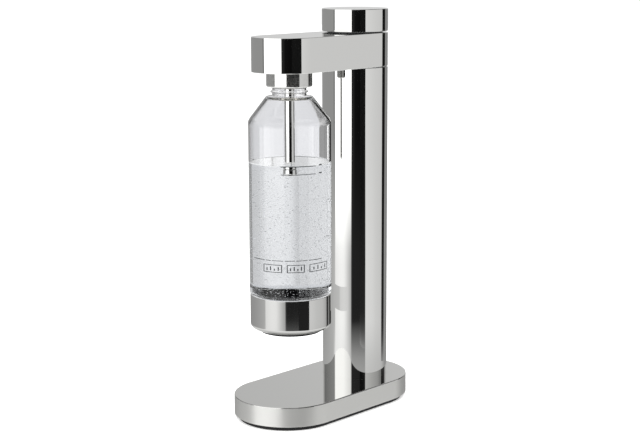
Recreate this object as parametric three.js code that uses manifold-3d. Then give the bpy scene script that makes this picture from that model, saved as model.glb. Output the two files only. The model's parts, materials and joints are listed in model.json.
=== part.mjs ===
// A hand-worked sparkling water maker: column on a flat base, arm, press cap, gas cylinder and bottle.
// Millimetres, +Z up. The origin lies on the floor under the middle of the base. The bottle is at -Y.
import * as THREE from 'three';
import { mergeVertices } from 'three/addons/utils/BufferGeometryUtils.js';
import Module from 'manifold-3d';

const wasm = await Module();
wasm.setup();

// Clearances: round a piece that fits in another, between faces that rest on each other, round moving pieces.
const fitGap = 0.3;
const seatGap = 0.1;
const runGap = 0.4;
const overrun = 2;

// Facets in a full turn.
const largeFacets = 40;
const mediumFacets = 24;
const smallFacets = 12;
const screwFacets = 8;

// Overall.
const totalHeight = 418;
const baseLength = 217.5;
const baseWidth = 111.5;
const baseHeight = 25.5;
const reach = 101;
const noseLength = 5;
const armHeight = 35.1;
const capHeight = 23.3;
const pressTravel = 1.2;
const pressSpare = 0.2;
const armSeam = 0.7;

// Gas cylinder and the column round it.
const cylinderRadius = 30;
const bayGap = 3.1;
const skinWall = 1.5;
const edgeBevel = 0.4;
const columnInner = cylinderRadius + bayGap;
const barrelRadius = columnInner + skinWall;

// Places of the two upright axes and of the arm's front round.
const columnY = (baseLength - baseWidth) / 2;
const bottleY = columnY - reach;
const noseY = bottleY - noseLength;

// Base.
const baseWall = 2;
const baseBevel = 1;
const footShow = 4.8;
const footHeight = 7;
const footInset = 4.5;
const footBevel = 0.8;
const flangeThickness = 4;
const flangeMargin = 4;
const plateBottom = baseHeight - baseWall;
const ballastBottom = footHeight + seatGap;
const columnFlangeTop = plateBottom - seatGap;
const columnFlangeBottom = columnFlangeTop - flangeThickness;
const ballastTop = columnFlangeBottom - seatGap;
const columnFlangeInner = barrelRadius + seatGap;
const columnFlangeRadius = baseWidth / 2 - baseWall - flangeMargin;

// Hatch under the column, with bayonet lugs.
const hatchRadius = 36;
const hatchRecess = 1;
const hatchClear = 0.5;
const bayRadius = cylinderRadius + bayGap / 2;
const lugReach = 3.9;
const ledgeThickness = 2.5;
const grooveHeight = 3;
const lugCount = 3;
const lugAngle = THREE.MathUtils.degToRad(20);
const entryAngle = THREE.MathUtils.degToRad(27);
const hatchTurn = THREE.MathUtils.degToRad(30);
const coinSlotLength = 30;
const coinSlotWidth = 3;
const coinSlotDepth = 2;
const padRadius = 21;
const padThickness = 3;
const hatchBossRadius = bayRadius - hatchClear;
const ledgeTop = ballastBottom + ledgeThickness;
const grooveTop = ledgeTop + grooveHeight;
const grooveRadius = bayRadius + lugReach;
const padBottom = grooveTop + seatGap;
const cylinderBottom = padBottom + padThickness + seatGap;

// Screws: head radius, head height and shank radius. Their holes follow.
const baseScrew = { head: 3.6, height: 2.6, shank: 2 };
const deckScrew = { head: 3.4, height: 2.2, shank: 1.8 };
const lightScrew = { head: 2.8, height: 1.8, shank: 1.4 };
const screwHold = 8;
const screwSocketShare = 0.45;
const postRadius = 5;
const bossRadius = 4;

// Arm, from below.
const armBottom = totalHeight - capHeight - pressTravel - pressSpare - armHeight;
const armTop = armBottom + armHeight;
const capBottom = armTop + pressTravel + pressSpare;
const columnTop = armBottom - armSeam;
const floorRecess = 0.2;
const floorThickness = 2;
const chassisThickness = 6;
const chassisInset = 1;
const deckFlange = 4;
const floorBottom = armBottom + floorRecess;
const floorTop = floorBottom + floorThickness;
const chassisBottom = floorTop + seatGap;
const chassisTop = chassisBottom + chassisThickness;
const deckBottom = chassisTop + seatGap;
const deckTop = deckBottom + deckFlange;
const roofBottom = armTop - skinWall;
const headHeight = 13;
const headBottom = floorBottom - seatGap - headHeight;

// Gas cylinder valve, its pin and the valve body above it.
const stubRadius = 10.5;
const stubLength = 27;
const valveHeight = 36;
const valveBaseRadius = 13;
const valvePlugRadius = 8;
const valvePlugLength = 9;
const pinRadius = 1.8;
const pinLength = 24;
const pinProud = 1.5;
const gasketThickness = 3;
const gasketBore = 5;
const socketRoof = 2;
const socketWall = 5.2;
const stemRadius = 4;
const upperWall = 6.7;
const socketDepth = 22;
const outletRim = 1.2;
const cylinderWall = 3;
const cylinderCorner = 8;
const shoulderHeight = 26;
const socketRadius = stubRadius + fitGap;
const valveBodyRadius = socketRadius + socketWall;
const socketCeiling = deckBottom - socketRoof;
const gasketTop = socketCeiling - seatGap;
const stubTop = gasketTop - gasketThickness - seatGap;
const valveBodyBottom = socketCeiling - socketDepth;
const cylinderTop = stubTop - valveHeight;
const pinTop = stubTop + pinProud;
const stemBore = stemRadius + fitGap;
const upperRadius = stemBore + upperWall;
const headCircle = (valveBodyRadius + columnInner) / 2;
const valveFlangeRadius = headCircle + deckScrew.head + fitGap;

// Gas pipe from the valve body to the nozzle block.
const pipeRadius = 2.5;
const pipeBore = 1;
const pipeBend = 7;
const bendSteps = 5;
const pipeRise = 11.4;
const outletRadius = 5;
const outletLength = 7;
const nutLength = 5;
const nutSides = 6;
const pipeSocket = 3;
const pipeZ = deckTop + pipeRise;
const valveBodyTop = pipeZ + outletRadius + outletRim;
const outletEndY = columnY - upperRadius - outletLength;

// Nozzle block, gas tube and tip.
const nozzleSpigot = 8.7;
const nozzleFlange = 20;
const nozzleInlet = 6;
const nozzleInletHeight = 2.2;
const nozzleReach = 14.3;
const nozzleCircle = 16;
const gasBore = 1.5;
const tubeRadius = 5.05;
const tubeBore = 1.6;
const tubeSpigot = 3.6;
const tubeSocket = 7.7;
const dipLength = 104.6;
const tipRadius = 5.15;
const tipHeight = 7;
const tipRound = 2.6;
const tipHold = 4.5;
const nozzleBottom = deckBottom - nozzleReach;
const nozzleTop = deckTop + nozzleInletHeight;
const tipBottom = armBottom - dipLength;
const tubeTop = nozzleBottom + tubeSocket;
const tubeBottom = tipBottom + tipHeight - tipHold;

// Relief valve on the nozzle block.
const reliefRadius = 4.5;
const reliefBore = 3.3;
const reliefHeight = 12;
const reliefFloor = 2.4;
const reliefPort = 1;
const reliefOffset = 11.5;
const poppetHeight = 2.8;
const reliefPlugHeight = 2.5;
const reliefWire = 0.35;
const reliefTurns = 4;

// Bottle neck and the collar round it.
const neckRadius = 17.3;
const threadDepth = 1.8;
const threadHeight = 2.6;
const threadPitch = 4.8;
const threadCount = 2;
const neckWall = 2.3;
const neckLength = 18.6;
const insertWall = 1.7;
const insertRecess = 1.2;
const insertDisc = 3.5;
const collarWall = 2;
const collarDisc = 3.4;
const collarHeight = 15.2;
const collarRound = 1.5;
const sealThickness = 1.2;
const threadRadius = neckRadius + threadDepth;
const insertInner = threadRadius + runGap;
const insertRadius = insertInner + insertWall;
const collarInner = insertRadius + seatGap;
const collarRadius = collarInner + collarWall;
const collarTop = chassisBottom - seatGap;
const collarBottom = armBottom - collarHeight;
const insertTop = collarTop - collarDisc - seatGap;
const insertCeiling = insertTop - insertDisc;
const spigotHole = nozzleSpigot + fitGap;
const sealTop = insertCeiling - seatGap;
const mouthZ = sealTop - sealThickness - seatGap;

// Bottle, its cup and the liner between them.
const bottleRadius = 42;
const bottleWall = 1.6;
const bottleLift = 66.2;
const shoulderEdge = 23.6;
const coneHeight = 24.2;
const bottleCorner = 8;
const bottleTurn = 3;
const cupInset = 0.4;
const cupHeight = 35.6;
const cupWall = 0.8;
const cupRound = 5.2;
const linerWall = 0.8;
const linerFloor = 1.2;
const padInset = 9.6;
const bottleFootHeight = 3.2;
const bottleStep = 1.4;
const cupRadius = bottleRadius - cupInset;
const cupInner = cupRadius - cupWall;
const linerRadius = cupInner - seatGap;
const linerInner = linerRadius - linerWall;
const waistRadius = linerInner - seatGap;
const shoulderZ = mouthZ - neckLength;
const coneZ = shoulderZ - coneHeight;
const bottleFootTop = baseHeight + bottleLift + bottleFootHeight;
const cupBottom = bottleFootTop + seatGap;
const cupRim = cupBottom + cupHeight;
const linerBottom = cupBottom + cupWall + seatGap;
const bottleBottom = linerBottom + linerFloor + seatGap;

// Press cap, its carrier and guide.
const carrierTop = 4;
const carrierSkirt = 3.4;
const carrierLift = 1.5;
const carrierBoss = 7;
const carrierBossDepth = 8.4;
const guideWall = 3;
const guideHeight = 11.6;
const guideFloor = 2;
const guideCircle = 20;
const springRadius = 10;
const springWire = 0.9;
const springTurns = 5;
const sealRing = 0.5;
const sealSquashShare = 0.8;
const capInner = barrelRadius - skinWall;
const capRoof = totalHeight - skinWall;
const carrierRadius = capInner - fitGap;
const carrierInner = carrierRadius - carrierSkirt;
const guideRadius = carrierInner - runGap;
const guideBottom = armTop + seatGap;
const guideFloorTop = guideBottom + guideFloor;
const carrierRoofTop = capRoof - seatGap;
const carrierRoofBottom = carrierRoofTop - carrierTop;

// A closed geometry as a solid, turned face out.
function solid(geometry) {
  const bare = geometry.index ? geometry.toNonIndexed() : geometry.clone();
  bare.deleteAttribute('normal');
  bare.deleteAttribute('uv');
  const merged = mergeVertices(bare, 1e-4);
  const position = merged.attributes.position;
  const corners = Uint32Array.from(merged.index.array);
  const a = new THREE.Vector3();
  const b = new THREE.Vector3();
  const c = new THREE.Vector3();
  let volume = 0;
  for (let i = 0; i < corners.length; i += 3) {
    a.fromBufferAttribute(position, corners[i]);
    b.fromBufferAttribute(position, corners[i + 1]);
    c.fromBufferAttribute(position, corners[i + 2]);
    volume += a.dot(b.cross(c));
  }
  if (volume < 0) {
    corners.reverse();
  }
  const kept = [];
  for (let i = 0; i < corners.length; i += 3) {
    const [p, q, r] = corners.subarray(i, i + 3);
    if (p !== q && q !== r && r !== p) {
      kept.push(p, q, r);
    }
  }
  return new wasm.Manifold(new wasm.Mesh({
    numProp: 3,
    vertProperties: Float32Array.from(position.array),
    triVerts: Uint32Array.from(kept),
  }));
}

// A profile of [radius, z] points turned about an upright axis at x, y.
function turned(profile, facets = largeFacets, x = 0, y = 0) {
  const points = profile.map(([r, z]) => new THREE.Vector2(r, z));
  const geometry = new THREE.LatheGeometry(points, facets);
  geometry.rotateX(Math.PI / 2);
  geometry.translate(x, y, 0);
  return solid(geometry);
}

// A ring or, with no bore, a disc.
function ring(outer, bore, bottom, top, facets = largeFacets, x = 0, y = 0) {
  if (bore === 0) {
    return turned([[0, bottom], [outer, bottom], [outer, top], [0, top]], facets, x, y);
  }
  const loop = [[bore, bottom], [outer, bottom], [outer, top], [bore, top], [bore, bottom]];
  return turned(loop, facets, x, y);
}

// An outline with two straight sides and round ends, centred on frontY and backY.
function roundEnded(radius, frontY, backY) {
  const shape = new THREE.Shape();
  shape.absarc(0, backY, radius, 0, Math.PI, false);
  shape.absarc(0, frontY, radius, Math.PI, 2 * Math.PI, false);
  shape.closePath();
  return shape;
}

// A shape as a plate from bottom to top, with both edges bevelled alike. An arc gets two points per segment.
function plate(shape, bottom, top, bevel = 0, facets = largeFacets) {
  const geometry = new THREE.ExtrudeGeometry(shape, {
    depth: top - bottom - 2 * bevel,
    curveSegments: facets / 4,
    bevelEnabled: bevel > 0,
    bevelThickness: bevel,
    bevelSize: bevel,
    bevelOffset: -bevel,
    bevelSegments: 1,
  });
  geometry.translate(0, 0, bottom + bevel);
  return solid(geometry);
}

// A sector of a ring about the column's axis, centred on an angle.
function sector(inner, outer, angle, width, bottom, top) {
  const shape = new THREE.Shape();
  shape.absarc(0, 0, outer, angle - width / 2, angle + width / 2, false);
  shape.absarc(0, 0, inner, angle + width / 2, angle - width / 2, true);
  shape.closePath();
  return plate(shape, bottom, top, 0, smallFacets).translate([0, columnY, 0]);
}

// Points of an arc in a profile, about [r, z], from one angle to another.
function arc(r, z, radiusR, radiusZ, from, to, steps) {
  const points = [];
  for (let i = 0; i <= steps; i += 1) {
    const angle = from + (to - from) * i / steps;
    points.push([r + radiusR * Math.cos(angle), z + radiusZ * Math.sin(angle)]);
  }
  return points;
}

// Places on a circle about x, y, the first at an angle.
function circlePlaces(x, y, radius, count, first) {
  const places = [];
  for (let i = 0; i < count; i += 1) {
    const angle = first + 2 * Math.PI * i / count;
    places.push([x + radius * Math.cos(angle), y + radius * Math.sin(angle)]);
  }
  return places;
}

// A helix of wire that stands on bottom, between its end turns' outer faces.
class Coil extends THREE.Curve {
  constructor(radius, bottom, top, turns, x, y) {
    super();
    Object.assign(this, { radius, bottom, top, turns, x, y });
  }

  getPoint(t, target = new THREE.Vector3()) {
    const angle = 2 * Math.PI * this.turns * t;
    const z = this.bottom + (this.top - this.bottom) * t;
    return target.set(this.x + this.radius * Math.cos(angle), this.y + this.radius * Math.sin(angle), z);
  }
}

function coil(radius, wire, bottom, top, turns, x, y) {
  const section = new THREE.Shape();
  section.absarc(0, 0, wire, 0, 2 * Math.PI, false);
  const path = new Coil(radius, bottom + wire, top - wire, turns, x, y);
  const settings = { steps: turns * 8, curveSegments: 3, bevelEnabled: false, extrudePath: path };
  return solid(new THREE.ExtrudeGeometry(section, settings));
}

const finishes = {
  polishedSteel: { color: 0xc9cac8, roughness: 0.06, metalness: 1 },
  satinSteel: { color: 0xb9bab7, roughness: 0.3, metalness: 1 },
  innerSteel: { color: 0x9fa2a3, roughness: 0.45, metalness: 1 },
  castIron: { color: 0x4a4b4d, roughness: 0.7, metalness: 0.6 },
  aluminium: { color: 0xb4b6b8, roughness: 0.5, metalness: 1 },
  brass: { color: 0xb08d4a, roughness: 0.35, metalness: 1 },
  springSteel: { color: 0x8d9092, roughness: 0.35, metalness: 1 },
  blackRubber: { color: 0x161616, roughness: 0.75, metalness: 0 },
  blackPlastic: { color: 0x1c1d1e, roughness: 0.5, metalness: 0 },
  greyPlastic: { color: 0x6d7072, roughness: 0.5, metalness: 0 },
  silicone: { color: 0xd8d8d2, roughness: 0.6, metalness: 0 },
  clearPlastic: { color: 0xe6ecee, roughness: 0.05, metalness: 0, transparent: true, opacity: 0.3 },
  cylinderPaint: { color: 0x8a97a0, roughness: 0.4, metalness: 0.2 },
};

const machine = new THREE.Group();

// Adds a solid to the machine as a named mesh.
function piece(name, made, finish) {
  const mesh = made.getMesh();
  const geometry = new THREE.BufferGeometry();
  geometry.setAttribute('position', new THREE.BufferAttribute(mesh.vertProperties, 3));
  geometry.setIndex(new THREE.BufferAttribute(mesh.triVerts, 1));
  const flat = geometry.toNonIndexed();
  flat.computeVertexNormals();
  const item = new THREE.Mesh(flat, new THREE.MeshStandardMaterial(finishes[finish]));
  item.name = name;
  machine.add(item);
}

// A screw with its head's bearing face at seatZ, pointing down, or up where up is true.
function screw(size, x, y, seatZ, length, up = false) {
  const side = up ? -1 : 1;
  const socket = size.head * screwSocketShare;
  const profile = [
    [0, seatZ - side * length],
    [size.shank, seatZ - side * length],
    [size.shank, seatZ],
    [size.head, seatZ],
    [size.head, seatZ + side * size.height],
    [socket, seatZ + side * size.height],
    [socket, seatZ + side * size.height / 2],
    [0, seatZ + side * size.height / 2],
  ];
  return turned(profile, screwFacets, x, y);
}

// A round cutter for a screw's hole.
function hole(radius, x, y, bottom, top, facets = screwFacets) {
  return ring(radius, 0, bottom, top, facets, x, y);
}

// Places of the base's screws: round the column, and the posts under the front of the base.
const flangeCircle = (columnFlangeInner + columnFlangeRadius) / 2;
const flangeScrewPlaces = circlePlaces(0, columnY, flangeCircle, 4, Math.PI / 4);
const postCircle = baseWidth / 2 - baseWall - 2 * postRadius;
const postPlaces = circlePlaces(0, -columnY, postCircle, 3, -Math.PI / 2);
const headScrewPlaces = circlePlaces(0, columnY, headCircle, 3, Math.PI / 6);
const guideScrewPlaces = circlePlaces(0, columnY, guideCircle, 3, -Math.PI / 6);
const nozzleScrewPlaces = circlePlaces(0, bottleY, nozzleCircle, 3, Math.PI / 2);

// The arm's screws stand beside the pipe, at shares of the reach in front of the column's axis.
const armScrewX = columnInner - chassisInset - 2 * bossRadius - fitGap;
const armScrewShares = [0.44, 0.68];
const armScrewPlaces = armScrewShares.flatMap((share) => {
  const y = columnY - share * reach;
  return [[-armScrewX, y], [armScrewX, y]];
});

function makeBase() {
  const half = baseWidth / 2;
  let shell = plate(roundEnded(half, -columnY, columnY), footShow, baseHeight, baseBevel);
  const hollow = roundEnded(half - baseWall, -columnY, columnY);
  shell = shell.subtract(plate(hollow, footShow - overrun, plateBottom, 0, mediumFacets));
  shell = shell.subtract(ring(barrelRadius + fitGap, 0, plateBottom - overrun, baseHeight + overrun,
    largeFacets, 0, columnY));
  for (const [x, y] of postPlaces) {
    const post = ring(postRadius, baseScrew.shank + fitGap / 2, ballastTop + seatGap, plateBottom,
      screwFacets, x, y);
    shell = shell.add(post);
  }
  piece('base_shell', shell, 'satinSteel');

  const ballastRadius = half - baseWall - fitGap;
  let ballast = plate(roundEnded(ballastRadius, -columnY, columnY), ballastBottom, ballastTop, 0,
    mediumFacets);
  ballast = ballast.subtract(ring(bayRadius, 0, ballastBottom - overrun, ballastTop + overrun,
    mediumFacets, 0, columnY));
  ballast = ballast.subtract(ring(grooveRadius + fitGap, 0, ledgeTop, grooveTop, largeFacets, 0, columnY));
  for (let i = 0; i < lugCount; i += 1) {
    const angle = 2 * Math.PI * i / lugCount - hatchTurn;
    const entry = sector(bayRadius - overrun, grooveRadius + fitGap, angle, entryAngle,
      ballastBottom - overrun, ledgeTop + seatGap);
    ballast = ballast.subtract(entry);
  }
  const sink = ballastBottom + baseScrew.height + seatGap;
  const screws = [...flangeScrewPlaces, ...postPlaces];
  for (const [x, y] of screws) {
    ballast = ballast.subtract(hole(baseScrew.shank + fitGap, x, y, ballastBottom, ballastTop + overrun));
    ballast = ballast.subtract(hole(baseScrew.head + fitGap, x, y, ballastBottom - overrun, sink));
  }
  piece('base_ballast', ballast, 'castIron');

  const footRadius = half - footInset;
  let foot = plate(roundEnded(footRadius, -columnY, columnY), 0, footHeight, footBevel);
  foot = foot.subtract(ring(hatchRadius + hatchClear, 0, -overrun, footHeight + overrun,
    largeFacets, 0, columnY));
  piece('base_foot', foot, 'blackRubber');

  let flange = ring(columnFlangeRadius, columnFlangeInner, columnFlangeBottom, columnFlangeTop,
    largeFacets, 0, columnY);
  for (const [x, y] of flangeScrewPlaces) {
    const bore = hole(baseScrew.shank + fitGap / 2, x, y, columnFlangeBottom - overrun,
      columnFlangeTop - fitGap);
    flange = flange.subtract(bore);
  }
  piece('column_flange', flange, 'innerSteel');

  const flangeScrewLength = columnFlangeTop - 2 * fitGap - sink - seatGap;
  screws.forEach(([x, y], i) => {
    const made = screw(baseScrew, x, y, sink - seatGap, flangeScrewLength, true);
    piece(`base_screw_${i + 1}`, made, 'springSteel');
  });
}

function makeHatch() {
  const coverBottom = hatchRecess;
  const coverTop = ballastBottom - fitGap;
  let cover = ring(hatchRadius, 0, coverBottom, coverTop, largeFacets, 0, columnY);
  cover = cover.add(ring(hatchBossRadius, 0, coverTop - seatGap, grooveTop, largeFacets, 0, columnY));
  for (let i = 0; i < lugCount; i += 1) {
    const angle = 2 * Math.PI * i / lugCount;
    const lug = sector(hatchBossRadius - overrun, grooveRadius, angle, lugAngle,
      ledgeTop + fitGap, grooveTop - fitGap);
    cover = cover.add(lug);
  }
  const slot = new THREE.BoxGeometry(coinSlotLength, coinSlotWidth, 2 * coinSlotDepth);
  slot.translate(0, columnY, coverBottom);
  cover = cover.subtract(solid(slot));
  piece('hatch_cover', cover, 'blackPlastic');
  piece('hatch_pad', ring(padRadius, 0, padBottom, padBottom + padThickness, mediumFacets, 0, columnY),
    'blackRubber');
}

function makeColumn() {
  const tube = ring(barrelRadius, columnInner, columnFlangeBottom, columnTop, largeFacets, 0, columnY);
  piece('column_tube', tube, 'polishedSteel');

  let head = ring(columnInner - fitGap, valveBodyRadius + fitGap, headBottom, floorBottom - seatGap,
    largeFacets, 0, columnY);
  for (const [x, y] of headScrewPlaces) {
    head = head.subtract(hole(deckScrew.shank + fitGap / 2, x, y, floorBottom - screwHold - 2 * fitGap,
      floorBottom + overrun));
  }
  piece('column_head', head, 'aluminium');
}

function makeGasCylinder() {
  const wall = cylinderWall;
  const inner = cylinderRadius - wall;
  const shoulderBottom = cylinderTop - shoulderHeight;
  const neck = valveBaseRadius + seatGap;
  const bore = valvePlugRadius + fitGap;
  const profile = [
    [0, cylinderBottom],
    ...arc(cylinderRadius - cylinderCorner, cylinderBottom + cylinderCorner, cylinderCorner, cylinderCorner,
      -Math.PI / 2, 0, 3),
    ...arc(neck, shoulderBottom, cylinderRadius - neck, shoulderHeight - wall, 0, Math.PI / 2, 4),
    [neck, cylinderTop],
    [bore, cylinderTop],
    ...arc(bore, shoulderBottom, inner - bore, shoulderHeight - 2 * wall, Math.PI / 2, 0, 4),
    ...arc(inner - cylinderCorner, cylinderBottom + wall + cylinderCorner, cylinderCorner, cylinderCorner,
      0, -Math.PI / 2, 3),
    [0, cylinderBottom + wall],
  ];
  piece('gas_cylinder', turned(profile, mediumFacets, 0, columnY), 'cylinderPaint');

  const pinBore = pinRadius + fitGap;
  const baseTop = stubTop - stubLength;
  const valve = [
    [pinBore, cylinderTop - valvePlugLength],
    [valvePlugRadius, cylinderTop - valvePlugLength],
    [valvePlugRadius, cylinderTop + seatGap],
    [valveBaseRadius, cylinderTop + seatGap],
    [valveBaseRadius, baseTop],
    [stubRadius, baseTop],
    [stubRadius, stubTop],
    [pinBore, stubTop],
    [pinBore, cylinderTop - valvePlugLength],
  ];
  piece('cylinder_valve', turned(valve, mediumFacets, 0, columnY), 'brass');
  piece('valve_pin', ring(pinRadius, 0, pinTop - pinLength, pinTop, smallFacets, 0, columnY), 'springSteel');
}

function makeArm() {
  let shell = plate(roundEnded(barrelRadius, noseY, columnY), armBottom, armTop, edgeBevel);
  const hollow = roundEnded(columnInner, noseY, columnY);
  shell = shell.subtract(plate(hollow, armBottom - overrun, roofBottom));
  for (const [x, y] of armScrewPlaces) {
    shell = shell.add(ring(bossRadius, 0, chassisTop + seatGap, roofBottom + seatGap, screwFacets, x, y));
    shell = shell.subtract(hole(deckScrew.shank + fitGap / 2, x, y, chassisTop - overrun,
      chassisTop + screwHold + fitGap));
  }
  const guideBossBottom = deckTop + deckScrew.height + screwHold;
  for (const [x, y] of guideScrewPlaces) {
    shell = shell.add(ring(bossRadius, 0, guideBossBottom, roofBottom + seatGap, screwFacets, x, y));
    shell = shell.subtract(hole(lightScrew.shank + fitGap / 2, x, y,
      guideFloorTop - screwHold - 2 * fitGap, armTop + overrun));
  }
  shell = shell.subtract(ring(stemBore + fitGap, 0, roofBottom - overrun, armTop + overrun,
    mediumFacets, 0, columnY));
  piece('arm_shell', shell, 'polishedSteel');

  const floorShape = roundEnded(columnInner - fitGap, noseY, columnY);
  const chassisShape = roundEnded(columnInner - chassisInset, noseY, columnY);
  let floor = plate(floorShape, floorBottom, floorTop, 0, mediumFacets);
  let chassis = plate(chassisShape, chassisBottom, chassisTop, 0, mediumFacets);
  const low = floorBottom - overrun;
  const high = chassisTop + overrun;
  floor = floor.subtract(ring(valveBodyRadius + fitGap, 0, low, high, mediumFacets, 0, columnY));
  chassis = chassis.subtract(ring(valveBodyRadius + fitGap, 0, low, high, mediumFacets, 0, columnY));
  floor = floor.subtract(ring(collarRadius + fitGap, 0, low, high, largeFacets, 0, bottleY));
  chassis = chassis.subtract(ring(spigotHole, 0, low, high, mediumFacets, 0, bottleY));
  for (const [x, y] of headScrewPlaces) {
    const bore = hole(deckScrew.shank + fitGap, x, y, low, high);
    floor = floor.subtract(bore);
    chassis = chassis.subtract(bore);
  }
  for (const [x, y] of armScrewPlaces) {
    floor = floor.subtract(hole(deckScrew.head + fitGap, x, y, low, high));
    chassis = chassis.subtract(hole(deckScrew.shank + fitGap, x, y, low, high));
  }
  for (const [x, y] of nozzleScrewPlaces) {
    chassis = chassis.subtract(hole(lightScrew.shank + fitGap, x, y, low, high));
  }
  piece('arm_floor', floor, 'innerSteel');
  piece('arm_chassis', chassis, 'aluminium');

  headScrewPlaces.forEach(([x, y], i) => {
    const length = deckTop + seatGap - floorBottom + screwHold;
    piece(`head_screw_${i + 1}`, screw(deckScrew, x, y, deckTop + seatGap, length), 'springSteel');
  });
  armScrewPlaces.forEach(([x, y], i) => {
    const length = chassisThickness + screwHold;
    piece(`arm_screw_${i + 1}`, screw(deckScrew, x, y, chassisBottom - seatGap, length, true), 'springSteel');
  });
}

function makeValveBody() {
  const profile = [
    [stemBore, valveBodyTop],
    [stemBore, socketCeiling],
    [socketRadius, socketCeiling],
    [socketRadius, valveBodyBottom],
    [valveBodyRadius, valveBodyBottom],
    [valveBodyRadius, deckBottom],
    [valveFlangeRadius, deckBottom],
    [valveFlangeRadius, deckTop],
    [upperRadius, deckTop],
    [upperRadius, valveBodyTop],
    [stemBore, valveBodyTop],
  ];
  let body = turned(profile, mediumFacets, 0, columnY);
  const outlet = new THREE.CylinderGeometry(outletRadius, outletRadius, outletLength + upperWall / 2,
    smallFacets);
  outlet.translate(0, outletEndY + (outletLength + upperWall / 2) / 2, pipeZ);
  body = body.add(solid(outlet));
  const port = new THREE.CylinderGeometry(gasBore, gasBore, columnY - outletEndY, smallFacets);
  port.translate(0, outletEndY + (columnY - outletEndY) / 2, pipeZ);
  body = body.subtract(solid(port));
  const socket = new THREE.CylinderGeometry(pipeRadius + fitGap, pipeRadius + fitGap, 2 * pipeSocket,
    smallFacets);
  socket.translate(0, outletEndY, pipeZ);
  body = body.subtract(solid(socket));
  for (const [x, y] of headScrewPlaces) {
    body = body.subtract(hole(deckScrew.shank + fitGap, x, y, deckBottom - overrun, deckTop + overrun));
  }
  piece('valve_body', body, 'brass');
  piece('cylinder_gasket', ring(stubRadius, gasketBore, gasketTop - gasketThickness, gasketTop,
    mediumFacets, 0, columnY), 'silicone');
}

// A path through points, with the direction given at each.
class Run extends THREE.Curve {
  constructor(points, directions) {
    super();
    Object.assign(this, { points, directions });
  }

  getPointAt(u, target = new THREE.Vector3()) {
    return target.copy(this.points[Math.round(u * (this.points.length - 1))]);
  }

  getTangentAt(u, target = new THREE.Vector3()) {
    return target.copy(this.directions[Math.round(u * (this.directions.length - 1))]);
  }
}

// A rod along the pipe's run, from the valve body's outlet over the chassis and down into the nozzle block.
function pipeRun(radius, spare) {
  const points = [new THREE.Vector3(0, outletEndY + pipeSocket - fitGap + spare, pipeZ)];
  const directions = [new THREE.Vector3(0, -1, 0)];
  for (let i = 0; i <= bendSteps; i += 1) {
    const angle = Math.PI / 2 * i / bendSteps;
    const y = bottleY + pipeBend - pipeBend * Math.sin(angle);
    const z = pipeZ - pipeBend + pipeBend * Math.cos(angle);
    points.push(new THREE.Vector3(0, y, z));
    directions.push(new THREE.Vector3(0, -Math.cos(angle), -Math.sin(angle)));
  }
  points.push(new THREE.Vector3(0, bottleY, nozzleTop - pipeSocket + fitGap - spare));
  directions.push(new THREE.Vector3(0, 0, -1));
  const section = new THREE.Shape();
  section.absarc(0, 0, radius, 0, 2 * Math.PI, false);
  return solid(new THREE.ExtrudeGeometry(section, {
    steps: points.length - 1,
    curveSegments: smallFacets / 2,
    bevelEnabled: false,
    extrudePath: new Run(points, directions),
  }));
}

function makePipe() {
  piece('gas_pipe', pipeRun(pipeRadius, 0).subtract(pipeRun(pipeBore, overrun)), 'innerSteel');

  const nutBore = pipeRadius + fitGap;
  const rearNut = ring(outletRadius, 0, 0, nutLength, nutSides).subtract(
    hole(nutBore, 0, 0, -overrun, nutLength + overrun, smallFacets));
  piece('pipe_nut_rear', rearNut.rotate([90, 0, 0]).translate([0, outletEndY - seatGap, pipeZ]), 'brass');
  const nutBottom = nozzleTop + seatGap;
  const nutTop = pipeZ - pipeBend - seatGap;
  const frontNut = ring(outletRadius, 0, nutBottom, nutTop, nutSides, 0, bottleY).subtract(
    hole(nutBore, 0, bottleY, nutBottom - overrun, nutTop + overrun, smallFacets));
  piece('pipe_nut_front', frontNut, 'brass');
}

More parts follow.
